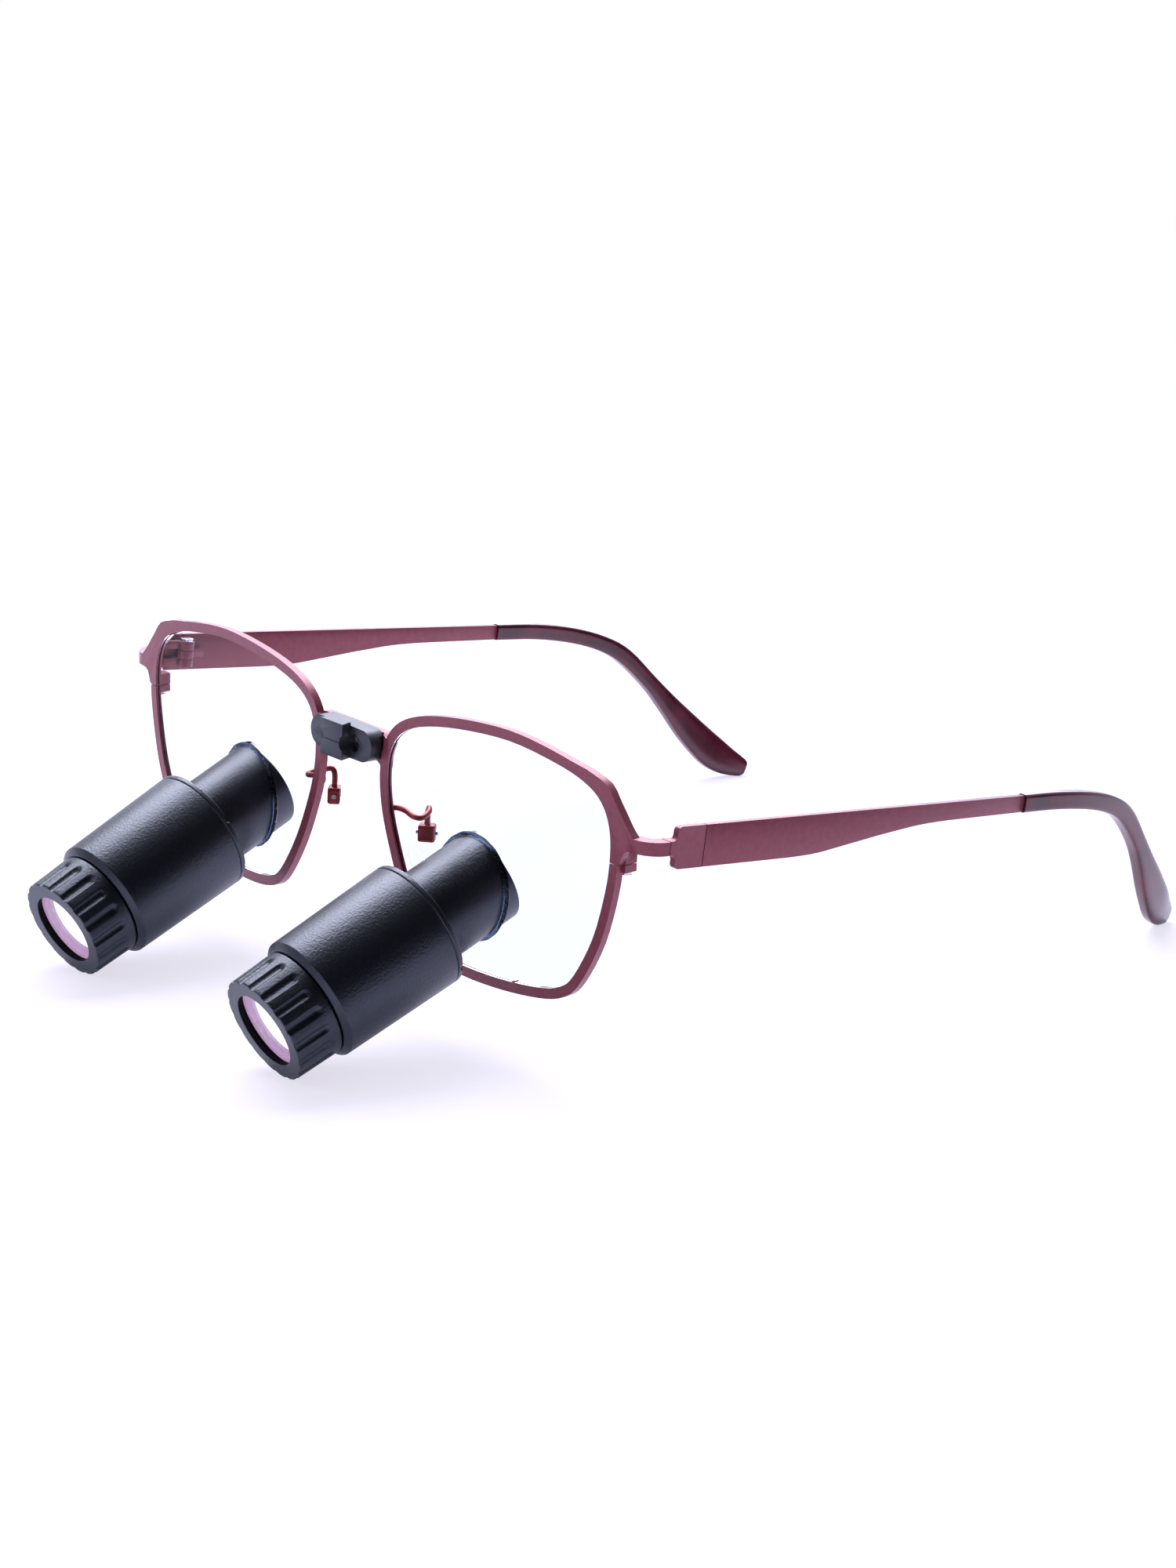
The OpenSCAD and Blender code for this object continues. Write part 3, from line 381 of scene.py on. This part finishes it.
def finish_piece(shape, node, side="left", crease=radians(35)):
    """Turns a bmesh in millimetres into a piece that stands for a CAD node and has its name."""
    if side == "right":
        bmesh.ops.scale(shape, vec=(-1, 1, 1), verts=shape.verts)
    bmesh.ops.remove_doubles(shape, verts=shape.verts, dist=WELD)
    bmesh.ops.scale(shape, vec=(MM, MM, MM), verts=shape.verts)
    bmesh.ops.recalc_face_normals(shape, faces=shape.faces)
    mesh = bpy.data.meshes.new(node)
    shape.to_mesh(mesh)
    shape.free()
    smooth_by_angle(mesh, crease)
    piece = bpy.data.objects.new(node, mesh)
    scene.collection.objects.link(piece)
    mesh.materials.append(FINISH[SLOT[node]])
    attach(piece, BODY[node])
    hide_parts(node)
    return piece


def turned(profile, side, part, steps=96, crease=radians(35), carve=None):
    """A ring or tube turned about the telescope's axis from a closed profile of radius and distance.

    A carving function may shape it further.
    """
    shape = bmesh.new()
    points = [shape.verts.new((radius, 0, along)) for radius, along in profile]
    edges = [shape.edges.new((points[i], points[(i + 1) % len(points)])) for i in range(len(points))]
    bmesh.ops.spin(shape, geom=points + edges, cent=(0, 0, 0), axis=(0, 0, 1), angle=2 * pi, steps=steps,
                   use_merge=True)
    if carve:
        carve(shape)
    bmesh.ops.transform(shape, matrix=BARREL, verts=shape.verts)
    return finish_piece(shape, f"{side}_{part}", side, crease)


def rounded(profile, radius, segments=4, sharp=()):
    """Rounds the corners of a closed profile, each by the radius or as far as its sides allow."""
    out = []
    count = len(profile)
    for i, corner in enumerate(profile):
        here = Vector(corner)
        before = Vector(profile[i - 1]) - here
        after = Vector(profile[(i + 1) % count]) - here
        reach = min(radius, before.length * 0.45, after.length * 0.45)
        if i in sharp or reach < 0.02:
            out.append(tuple(here))
            continue
        start = here + before.normalized() * reach
        end = here + after.normalized() * reach
        for k in range(segments + 1):
            t = k / segments
            point = start * (1 - t) ** 2 + here * 2 * t * (1 - t) + end * t ** 2
            out.append(tuple(point))
    return out


def plain_ring(side, part, outer, inner, start, end, corner, segments):
    """A plain ring between two radii and two distances, with rounded corners."""
    profile = [(outer, start), (inner, start), (inner, end), (outer, end)]
    return turned(rounded(profile, corner, segments), side, part)


def smooth_route(points, steps):
    """Smooth open curve through the points, which may carry extra values after x, y and z."""
    out = []
    last = len(points) - 1
    for i in range(last):
        a, b, c, d = points[max(i - 1, 0)], points[i], points[i + 1], points[min(i + 2, last)]
        for k in range(steps):
            t = k / steps
            out.append([0.5 * (2 * q + (r - p) * t + (2 * p - 5 * q + 4 * r - s) * t * t
                               + (3 * q - p - 3 * r + s) * t ** 3) for p, q, r, s in zip(a, b, c, d)])
    out.append(list(points[last]))
    return out


def swept(route, section, hint):
    """A bar that follows a route.

    The section says how many sides the bar has, how square they stand and its half sizes at a stop.
    The hint says which way is up.
    """
    shape = bmesh.new()
    count = len(route)
    old = None
    ring = bmesh.ops.create_circle(shape, segments=section["sides"], radius=1)["verts"]
    edges = list(shape.edges)
    bmesh.ops.contextual_create(shape, geom=edges)
    for i in range(count):
        here = Vector(route[i][:3])
        along = (Vector(route[min(i + 1, count - 1)][:3]) - Vector(route[max(i - 1, 0)][:3])).normalized()
        across = hint.cross(along).normalized()
        up = along.cross(across)
        width, thick = section["size"](route[i])
        place = Matrix.Translation(here) @ Matrix((across * width, up * thick, along)).transposed().to_4x4()
        if i:
            grown = bmesh.ops.extrude_edge_only(shape, edges=edges)["geom"]
            ring = [item for item in grown if isinstance(item, bmesh.types.BMVert)]
            edges = [item for item in grown if isinstance(item, bmesh.types.BMEdge)
                     and item.verts[0] in ring and item.verts[1] in ring]
            bmesh.ops.transform(shape, matrix=place @ old.inverted(), verts=ring)
        else:
            if section.get("square"):
                for point in ring:
                    point.co = square_off(point.co, section["square"])
            bmesh.ops.transform(shape, matrix=place, verts=ring)
        old = place
    bmesh.ops.contextual_create(shape, geom=edges)
    return shape


def square_off(point, power):
    """Moves a point of the unit circle onto a rounded square."""
    size = (abs(point.x) ** power + abs(point.y) ** power) ** (1 / power)
    return point / size


def dressed(node, width, segments=2):
    """A copy of a CAD node with its loose triangles joined and its sharp edges rounded."""
    shape = bmesh.new()
    shape.from_mesh(frame["nodes"][node].data)
    bmesh.ops.scale(shape, vec=(1 / MM, 1 / MM, 1 / MM), verts=shape.verts)
    bmesh.ops.remove_doubles(shape, verts=shape.verts, dist=0.002)
    bmesh.ops.dissolve_limit(shape, angle_limit=radians(1), verts=shape.verts, edges=shape.edges)
    crease = radians(30)
    sharp = [edge for edge in shape.edges if len(edge.link_faces) == 2 and edge.calc_face_angle(0) > crease]
    bmesh.ops.bevel(shape, geom=sharp, offset=width, offset_type="OFFSET", segments=segments, profile=0.5,
                    affect="EDGES", clamp_overlap=True, material=-1)
    return finish_piece(shape, node, "left", crease)


def carried_over(node):
    """A CAD node that keeps its shape and gets its finish."""
    obj = frame["nodes"][node]
    obj.data.materials.clear()
    obj.data.materials.append(FINISH[SLOT[node]])


# The telescopes, with radii and distances from the objective end in millimetres

RING_R = 8.9
RING_BACK_R = 9.12
RING_L = 8.05
RING_BORE_R = 8.2
APERTURE_R = 6.2
APERTURE_BEVEL = 0.15
LIP_T = 0.85
FLUTES = 18
FLUTE_R = 1.0
FLUTE_D = 0.38
FLUTE_L = 6.6
FLUTE_TAPER = radians(1)

CELL_R = 7.6
CELL_BORE_R = 7.03
CELL_START = 1.0
CELL_END = 9.75
SEAT_R = 6.1
SEAT_START = 4.9
SEAT_END = 5.8
RETAINER_R = 6.7
RETAINER_START = 1.05
RETAINER_END = 1.37
OBJECTIVE_R = 7.0
OBJECTIVE_BACK = 4.8
# Radius of the painted glowing image on the objective's back
IMAGE_R = 5.9

HOUSING_START = 8.2
HOUSING_END = 30.0
HOUSING_FRONT_R = 10.25
HOUSING_BACK_R = 10.75
NOSE_W = 0.98
NOSE_L = 0.85
CAVITY_R = 9.3
CAGE_START = 11.15
NECK_R = 8.15
NECK_BORE_R = 7.65
NECK_START = 1.1

REAR_LIP_R = 9.27
REAR_LIP_START = 28.63
REAR_START = 30.03
RING_END = 30.98
SEAM = 0.14
NOTCH_ANGLE = radians(28)
NOTCH_W = 1.2
NOTCH_D = 0.45
NOTCH_REACH = 0.45

TUBE_R = 7.75
TUBE_BORE_R = 7.0
TUBE_START = 28.73
TUBE_END = 45.6
TUBE_GAP = 0.03
INSERT_R = 6.97
# Bore radius, start and end
EYEPIECE_RETAINER = (6.07, 44.05, 45.1)
EYEPIECE_SPACER = (6.47, 33.13, 40.6)

# Front and back edge, and the height of the dome on each
OBJECTIVE = (1.5, OBJECTIVE_BACK, 0.45, 0.05)
FIELD_LENS = (31.13, 32.93, 0.1, 0.9)
EYE_LENS = (40.7, 43.9, 0.05, 0.35)
LENS_ROWS = 14


def filled(profile, longest):
    """Splits the long sides of a closed profile, so that a turned skin has rows to shape."""
    out = []
    for i, corner in enumerate(profile):
        start = Vector(corner)
        end = Vector(profile[(i + 1) % len(profile)])
        pieces = max(1, round((end - start).length / longest))
        out += [tuple(start.lerp(end, k / pieces)) for k in range(pieces)]
    return out


def carve_flutes(shape):
    """Presses round-ended flutes into the outside of the focus ring."""
    skin_r = RING_BORE_R + 0.35
    for point in shape.verts:
        radius = point.co.xy.length
        if radius < skin_r or point.co.z > FLUTE_L + 0.2:
            continue
        angle = Vector((1, 0)).angle_signed(point.co.xy) * -1
        off = (angle * FLUTES / (2 * pi) + 0.5) % 1 - 0.5
        across = abs(off) * 2 * pi / FLUTES * radius
        beyond = max(point.co.z - (FLUTE_L - FLUTE_R), 0)
        reach = FLUTE_R ** 2 - across ** 2 - beyond ** 2
        if reach <= 0:
            continue
        taper = point.co.z * sin(FLUTE_TAPER)
        floor = RING_R + FLUTE_R - FLUTE_D + taper - reach ** 0.5
        if floor < radius:
            point.co.xy = point.co.xy * (floor / radius)


def carve_notches(shape):
    """Cuts the two key notches into the back edge of the rear ring."""
    for point in shape.verts:
        if point.co.z < RING_END - 0.3 or point.co.xy.length < HOUSING_BACK_R - NOTCH_REACH:
            continue
        angle = atan2(point.co.y, point.co.x) - NOTCH_ANGLE
        off = abs((angle + pi / 2) % pi - pi / 2)
        if off * HOUSING_BACK_R < NOTCH_W / 2:
            point.co.z -= NOTCH_D


def lens_disc(side, part, radius, front, back, front_dome, back_dome):
    """A round lens with a domed face at each end."""
    profile = []
    for place, dome, away in ((front, front_dome, -1), (back, back_dome, 1)):
        sphere_r = (radius ** 2 + dome ** 2) / (2 * dome)
        points = []
        for k in range(LENS_ROWS + 1):
            reach = radius * k / LENS_ROWS
            height = (sphere_r ** 2 - reach ** 2) ** 0.5 - sphere_r + dome
            points.append((reach, place + away * height))
        profile += points if away < 0 else points[::-1]
    shape = bmesh.new()
    row = [shape.verts.new((max(r, 0), 0, z)) for r, z in profile]
    edges = [shape.edges.new(pair) for pair in zip(row, row[1:])]
    bmesh.ops.spin(shape, geom=row + edges, cent=(0, 0, 0), axis=(0, 0, 1), angle=2 * pi, steps=96,
                   use_merge=True)
    bmesh.ops.remove_doubles(shape, verts=shape.verts, dist=WELD)
    bmesh.ops.transform(shape, matrix=BARREL, verts=shape.verts)
    return finish_piece(shape, f"{side}_{part}", side, radians(40))


def barrel_line(piece):
    """A point on the axis of the telescope that a piece belongs to, and the axis."""
    start = BARREL.to_translation()
    axis = BARREL.to_3x3().col[2].copy()
    if piece.name.startswith("right"):
        start.x = -start.x
        axis.x = -axis.x
    return start, axis


def blacken_inside(piece, reach):
    """Gives the faces within a radius of the telescope's axis the flocked black."""
    piece.data.materials.append(INSIDE)
    start, axis = barrel_line(piece)
    for face in piece.data.polygons:
        spot = face.center / MM - start
        if (spot - axis * spot.dot(axis)).length < reach:
            face.material_index = 1


def coat_objective(objective):
    """Coats an objective's front with a painted violet glow, paints the bright round image on its back as a glow
    and colours its edge with painted mauve light.
    """
    # Painted glows: violet on the front, the white image on the back, mauve light on the edge
    for material in (COAT_MAUVE_PAINTED_GLOW, IMAGE_PAINTED_GLOW, EDGE_PAINTED_GLOW):
        objective.data.materials.append(material)
    start, axis = barrel_line(objective)
    centre = start + axis * OBJECTIVE_BACK
    for face in objective.data.polygons:
        spot = face.center / MM - centre
        if face.normal.dot(axis) < -0.5:
            face.material_index = 1
        elif face.normal.dot(axis) > 0.8 and spot.length < IMAGE_R:
            face.material_index = 2
        else:
            face.material_index = 3


def make_telescope(side):
    focus_profile = rounded([(APERTURE_R, APERTURE_BEVEL), (APERTURE_R + APERTURE_BEVEL, 0), (RING_R, 0),
                             (RING_BACK_R, RING_L), (RING_BORE_R, RING_L), (RING_BORE_R, LIP_T),
                             (APERTURE_R, LIP_T)], 0.28, 3)
    ring = turned(filled(focus_profile, 0.35), side, "focus_ring", steps=FLUTES * 20, crease=radians(50),
                  carve=carve_flutes)
    cell_profile = [(CELL_R, CELL_START), (CELL_R, CELL_END), (CELL_BORE_R, CELL_END),
                    (CELL_BORE_R, SEAT_END), (SEAT_R, SEAT_END), (SEAT_R, SEAT_START),
                    (CELL_BORE_R, SEAT_START), (CELL_BORE_R, CELL_START)]
    cell = turned(rounded(cell_profile, 0.12, 2), side, "objective_cell")
    retainer = plain_ring(side, "objective_retainer", OBJECTIVE_R, RETAINER_R, RETAINER_START, RETAINER_END,
                          0.1, 3)
    ring.data.materials[0] = RING_BLACK
    for piece, reach in ((ring, APERTURE_R + 0.1), (cell, CELL_R - 0.1), (retainer, CELL_R)):
        blacken_inside(piece, reach)
    housing_profile = [(NECK_BORE_R, NECK_START), (NECK_R, NECK_START), (NECK_R, HOUSING_START),
                       (HOUSING_FRONT_R - NOSE_W, HOUSING_START), (HOUSING_FRONT_R, HOUSING_START + NOSE_L),
                       (HOUSING_BACK_R, HOUSING_END - SEAM), (HOUSING_BACK_R - SEAM, HOUSING_END),
                       (CAVITY_R, HOUSING_END), (CAVITY_R, CAGE_START), (NECK_BORE_R, CAGE_START)]
    turned(rounded(housing_profile, 0.14, 4, sharp=(0, 1, 2, 7, 8, 9)), side, "prism_housing", steps=128,
           crease=radians(30))
    rear_profile = [(TUBE_R + TUBE_GAP, REAR_LIP_START), (REAR_LIP_R, REAR_LIP_START),
                    (REAR_LIP_R, REAR_START), (HOUSING_BACK_R - SEAM, REAR_START),
                    (HOUSING_BACK_R, REAR_START + SEAM), (HOUSING_BACK_R, RING_END),
                    (TUBE_R + TUBE_GAP, RING_END)]
    turned(rounded(rear_profile, 0.22, 4, sharp=(0, 1, 2, 3)), side, "rear_ring", steps=256,
           crease=radians(30), carve=carve_notches)
    tube_profile = [(TUBE_BORE_R, TUBE_START), (TUBE_R, TUBE_START), (TUBE_R, TUBE_END),
                    (TUBE_BORE_R, TUBE_END)]
    turned(rounded(tube_profile, 0.3, 4), side, "eyepiece_tube", steps=128)
    plain_ring(side, "eyepiece_retainer", INSERT_R, *EYEPIECE_RETAINER, 0.2, 3)
    plain_ring(side, "eyepiece_spacer", INSERT_R, *EYEPIECE_SPACER, 0.1, 2)
    coat_objective(lens_disc(side, "objective_lens", OBJECTIVE_R, *OBJECTIVE))
    lens_disc(side, "field_lens", INSERT_R, *FIELD_LENS)
    lens_disc(side, "eye_lens", INSERT_R, *EYE_LENS)
    for part in ("prism_cage", "front_prism", "roof_prism"):
        carried_over(f"{side}_{part}")


# Clear bead of adhesive round the tube, where it passes through the lens

BEAD_BACK = 0.57
BEAD_TOP_W = 0.45
BEAD_SIDE_W = 0.8
# Share of the width, and depth behind the rim's front, at each corner of the bead's section
BEAD_SECTION = [(0, BEAD_BACK), (0, 0.09), (0.3, 0.12), (0.6, 0.22), (0.85, 0.38), (1, BEAD_BACK)]
# Height in millimetres, waves round the bead and start of each unevenness in its width
BEAD_WAVES = [(0.03, 7, 1), (0.025, 19, 0)]


def make_bead(side):
    """A thin uneven bead, turned about the telescope and slid along it onto the front of the lens."""
    shape = bmesh.new()
    row = [shape.verts.new((TUBE_R + share, 0, depth)) for share, depth in BEAD_SECTION]
    edges = [shape.edges.new((row[i - 1], row[i])) for i in range(len(row))]
    bmesh.ops.spin(shape, geom=row + edges, cent=(0, 0, 0), axis=(0, 0, 1), angle=2 * pi, steps=128,
                   use_merge=True)
    along = BARREL.to_3x3().col[2]
    into = RIM.to_3x3().col[1]
    for point in shape.verts:
        angle = atan2(point.co.y, point.co.x)
        share = point.co.xy.length - TUBE_R
        width = BEAD_TOP_W + (BEAD_SIDE_W - BEAD_TOP_W) * cos(angle) ** 2
        width += sum(height * sin(waves * angle + start) for height, waves, start in BEAD_WAVES)
        radius = TUBE_R + TUBE_GAP + share * width
        spot = BARREL @ Vector((cos(angle) * radius, sin(angle) * radius, 0))
        level = RIM @ Vector((0, point.co.z, 0))
        point.co = spot + along * ((level - spot).dot(into) / along.dot(into))
    return finish_piece(shape, f"{side}_lens_bead", side, radians(60))


# Temple tips

# Distance along the temple, height and share of the full width at each stop
TIP_ROUTE = [(0, 0, 0.46), (9.9, -0.05, 0.46), (19, -0.85, 0.47), (26.4, -2.5, 0.48), (31.9, -5.1, 0.51),
             (38.1, -10.2, 0.48), (42.6, -14.5, 0.62), (46.9, -18.7, 0.84), (50.4, -21.85, 0.955),
             (53.3, -24.2, 1), (56, -25.8, 0.9), (58.7, -26.85, 0.69), (60.1, -27.25, 0.54),
             (60.6, -27.4, 0.38)]
TIP_W = 6.7
TIP_START_T = 2.0
TIP_T = 2.7
TIP_FULL_AT = 30
TIP_THIN_AT = 45
TIP_THINNING = 0.5 / 16
TIP_CURL_AT = 11
TIP_SLANT = 0.041
TIP_BEND = 0.00416
TIP_SQUARE = 4.6
TIP_START = Vector((0.45, 73.33, 1.9))


def tip_curl(along):
    """Sideways curl of the tip towards the head."""
    past = max(along - TIP_CURL_AT, 0)
    return -TIP_SLANT * past - TIP_BEND * past * past


def tip_thickness(along):
    """The tip thickens to its full measure and thins again towards its end."""
    return (TIP_START_T + (TIP_T - TIP_START_T) * min(along / TIP_FULL_AT, 1)
            - TIP_THINNING * max(along - TIP_THIN_AT, 0))


def make_temple_tip(side):
    middle = [(tip_curl(a) - tip_thickness(a) / 2 + TIP_START.x, a + TIP_START.y, u + TIP_START.z, w, a)
              for a, u, w in smooth_route(TIP_ROUTE, 4)]
    section = {"sides": 48, "square": TIP_SQUARE,
               "size": lambda stop: (TIP_W * stop[3] / 2, tip_thickness(stop[4]) / 2)}
    shape = swept(middle, section, Vector((1, 0, 0)))
    bmesh.ops.transform(shape, matrix=TEMPLE, verts=shape.verts)
    return finish_piece(shape, f"{side}_temple_tip", side, radians(50))


# Nose pad arms and pads

WIRE_BASE = Vector((9.6, -50.95, 31.02))
WIRE_ROUTE = [(-0.55, -0.2, 1.5), (0.6, 0.7, 1.7), (2.3, 1.1, 1.6), (4.5, 1.1, 1.15), (5.6, 2, 1.05),
              (4.9, 3.9, 1.5), (3.8, 4.85, 1.8), (3.2, 5.1, 0.9), (3.2, 5.05, -1.6)]
WIRE_R = 0.48
BOX = (2.85, 2.1, 2.9)
BOX_ROUND = 0.45
BOX_WALL = 0.5
SLOT_W = 1.5
SLOT_D = 1.8
PAD_H = 14.6
PAD_W = 7.2
PAD_T = 2.2
PAD_DROP = 0.9
PAD_PLATE_Y = 1.7
PAD_SQUARE = 2.4
PAD_TAPER = 0.16
PAD_CROWN = 0.75


def at_corner(place, size):
    """Whether a point of a centred box is one of its eight corners."""
    return all(abs(abs(place[k]) - size[k] / 2) < 0.001 for k in range(3))


def make_pad_arm(side):
    """A bent wire that ends in a box, which has a slot for the pad's lug."""
    route = [tuple(WIRE_BASE + Vector(stop)) for stop in WIRE_ROUTE]
    shape = swept(smooth_route(route, 8), {"sides": 16, "size": lambda stop: (WIRE_R, WIRE_R)},
                  Vector((0.05, 0.1, 1)))
    box = bmesh.new()
    bmesh.ops.create_cube(box, size=1)
    bmesh.ops.scale(box, vec=BOX, verts=box.verts)
    # The slot is open towards the nose
    bmesh.ops.subdivide_edges(box, edges=box.edges, cuts=2, use_grid_fill=True)
    for point in box.verts:
        if abs(point.co.x) < 0.3 * BOX[0]:
            point.co.x = SLOT_W / 2 if point.co.x > 0 else -SLOT_W / 2
        if abs(point.co.z) < 0.3 * BOX[2]:
            point.co.z = (BOX[2] / 2 - BOX_WALL) * (1 if point.co.z > 0 else -1)
    mouth = [face for face in box.faces if face.normal.y > 0.9
             and abs(face.calc_center_median().x) < 0.1 and abs(face.calc_center_median().z) < 0.1]
    grown = bmesh.ops.extrude_face_region(box, geom=mouth)["geom"]
    inner = [item for item in grown if isinstance(item, bmesh.types.BMVert)]
    bmesh.ops.delete(box, geom=mouth, context="FACES_ONLY")
    bmesh.ops.translate(box, vec=(0, -SLOT_D, 0), verts=inner)
    bmesh.ops.dissolve_limit(box, angle_limit=radians(1), verts=box.verts, edges=box.edges)
    outer = [edge for edge in box.edges if all(at_corner(point.co, BOX) for point in edge.verts)]
    bmesh.ops.bevel(box, geom=outer, offset=BOX_ROUND, offset_type="OFFSET", segments=4, profile=0.5,
                    affect="EDGES", clamp_overlap=True, material=-1)
    bmesh.ops.transform(box, matrix=PAD_BOX, verts=box.verts)
    joined = bpy.data.meshes.new("pad_box")
    box.to_mesh(joined)
    box.free()
    shape.from_mesh(joined)
    arm = finish_piece(shape, f"{side}_pad_arm", side)
    arm.data.materials[0] = WIRE_WINE


def make_nose_pad(side):
    """A soft egg-shaped pad, crowned on both faces."""
    shape = bmesh.new()
    bmesh.ops.create_uvsphere(shape, u_segments=48, v_segments=24, radius=1)
    for point in shape.verts:
        x, z, y = point.co.x, point.co.y, point.co.z
        length = max((x * x + z * z) ** 0.5, 1e-6)
        corner = abs(x / length) ** PAD_SQUARE + abs(z / length) ** PAD_SQUARE
        square = max(corner ** (1 / PAD_SQUARE), 0.001)
        waist = 1 - PAD_TAPER * (z + 0.2)
        depth = abs(y) ** PAD_CROWN * (1 if y > 0 else -1)
        point.co = Vector((x / square * waist * PAD_W / 2, PAD_PLATE_Y + PAD_T / 2 + depth * PAD_T / 2,
                           z / square * PAD_H / 2 - PAD_DROP))
    bmesh.ops.transform(shape, matrix=PAD_BOX, verts=shape.verts)
    return finish_piece(shape, f"{side}_nose_pad", side, radians(60))


# The floor, the light and the camera

FLOOR_DROP = -0.0001
FLOOR_HALF = 6


def make_floor():
    shape = bmesh.new()
    bmesh.ops.create_grid(shape, x_segments=2, y_segments=2, size=FLOOR_HALF)
    bmesh.ops.translate(shape, vec=(0, 0, FLOOR_DROP), verts=shape.verts)
    mesh = bpy.data.meshes.new("floor")
    shape.to_mesh(mesh)
    shape.free()
    floor = bpy.data.objects.new("floor", mesh)
    scene.collection.objects.link(floor)
    mesh.materials.append(floor_white())


# Name, place, target, size, power in watts and colour of each lamp
LAMPS = [("top_light", (-0.42, 0.20, 0.72), (0, 0, 0.02), (0.8, 0.6), 15, (0.87, 0.88, 1.0)),
         ("back_light", (-0.95, 0.85, 0.42), (0, 0, 0.02), (1.1, 0.6), 6, (0.85, 0.86, 1.0)),
         ("side_light", (-0.25, -0.75, 0.45), (0, -0.03, 0.02), (0.4, 0.4), 1.5, (0.84, 0.86, 1.0))]


def make_lamp(name, place, target, size, power, colour):
    light = bpy.data.lights.new(name, "AREA")
    light.shape = "RECTANGLE"
    light.size = size[0]
    light.size_y = size[1]
    light.energy = power
    light.color = colour
    lamp = bpy.data.objects.new(name, light)
    away = (Vector(place) - Vector(target)).to_track_quat("Z", "Y")
    lamp.matrix_world = Matrix.Translation(place) @ away.to_matrix().to_4x4()
    scene.collection.objects.link(lamp)


# The way to the white side of the room, the share of it from which all is white, the light of the
# dark side and of the whole room on matt things, and the room's tint
ROOM_WHITE_SIDE = (-0.75, 0.66, 0.0)
ROOM_WHITE_AT = 0.6
ROOM_DARK = 0.015
ROOM_FILL = 0.6
ROOM_TINT = (0.80, 0.82, 1.0, 1)


def make_world():
    """White wherever the camera or glass looks; the sheen on metal sees a darker room over the camera."""
    world = bpy.data.worlds.new("studio")
    world.use_nodes = True
    tree = world.node_tree
    back = tree.nodes["Background"]
    scene.world = world
    rays = add(tree, "ShaderNodeLightPath")
    mirrored, clear = ray_shares(tree, rays)
    place = add(tree, "ShaderNodeTexCoord")
    split = add(tree, "ShaderNodeVectorMath", operation="DOT_PRODUCT")
    split.inputs[1].default_value = ROOM_WHITE_SIDE
    tree.links.new(place.outputs["Generated"], split.inputs[0])
    room = spread(tree, split.outputs["Value"], 0.0, ROOM_WHITE_AT, ROOM_DARK, 1.0, "SMOOTHSTEP")
    seen = maths(tree, "MAXIMUM", rays.outputs["Is Camera Ray"], clear)
    glossy = add(tree, "ShaderNodeMix", data_type="FLOAT")
    settle(glossy, {"A": ROOM_FILL})
    tree.links.new(mirrored, glossy.inputs["Factor"])
    tree.links.new(room, glossy.inputs["B"])
    tint = add(tree, "ShaderNodeMix", data_type="RGBA")
    settle(tint, {"A": ROOM_TINT, "B": (1, 1, 1, 1)})
    tree.links.new(seen, tint.inputs["Factor"])
    tree.links.new(tint.outputs["Result"], back.inputs["Color"])
    tree.links.new(maths(tree, "MAXIMUM", glossy.outputs["Result"], seen), back.inputs["Strength"])


CAMERA_AT = Vector((407.8, -362.8, 184.7)) * MM
CAMERA_YAW = radians(48.37)
CAMERA_PITCH = radians(73.81)
CAMERA_ROLL = radians(2.69)
CAMERA_LENS = 74.8


def make_camera():
    camera = bpy.data.cameras.new("camera")
    camera.sensor_fit = "AUTO"
    camera.sensor_width = 36
    camera.lens = CAMERA_LENS
    camera.clip_start = 0.01
    holder = bpy.data.objects.new("camera", camera)
    turn = (Matrix.Rotation(CAMERA_YAW, 4, "Z") @ Matrix.Rotation(CAMERA_PITCH, 4, "X")
            @ Matrix.Rotation(CAMERA_ROLL, 4, "Z"))
    holder.matrix_world = Matrix.Translation(CAMERA_AT) @ turn
    scene.collection.objects.link(holder)
    scene.camera = holder


# The whole part

make_camera()
for side in SIDES:
    make_telescope(side)
    make_bead(side)
    make_temple_tip(side)
    make_pad_arm(side)
    make_nose_pad(side)
    for part, width in (("temple", 0.12), ("hinge_front", 0.1), ("hinge_rear", 0.1)):
        dressed(f"{side}_{part}", width)
    for part in ("carrier_lens", "pad_insert", "hinge_screw"):
        carried_over(f"{side}_{part}")
dressed("front_frame", 0.1)
dressed("bridge_mount", 0.16, 3)
for node in ("rim_lock_screws", "bridge_mount_screws", "nose_pad_screws"):
    carried_over(node)

make_floor()
make_world()
for lamp in LAMPS:
    make_lamp(*lamp)
scene.view_settings.view_transform = "Standard"
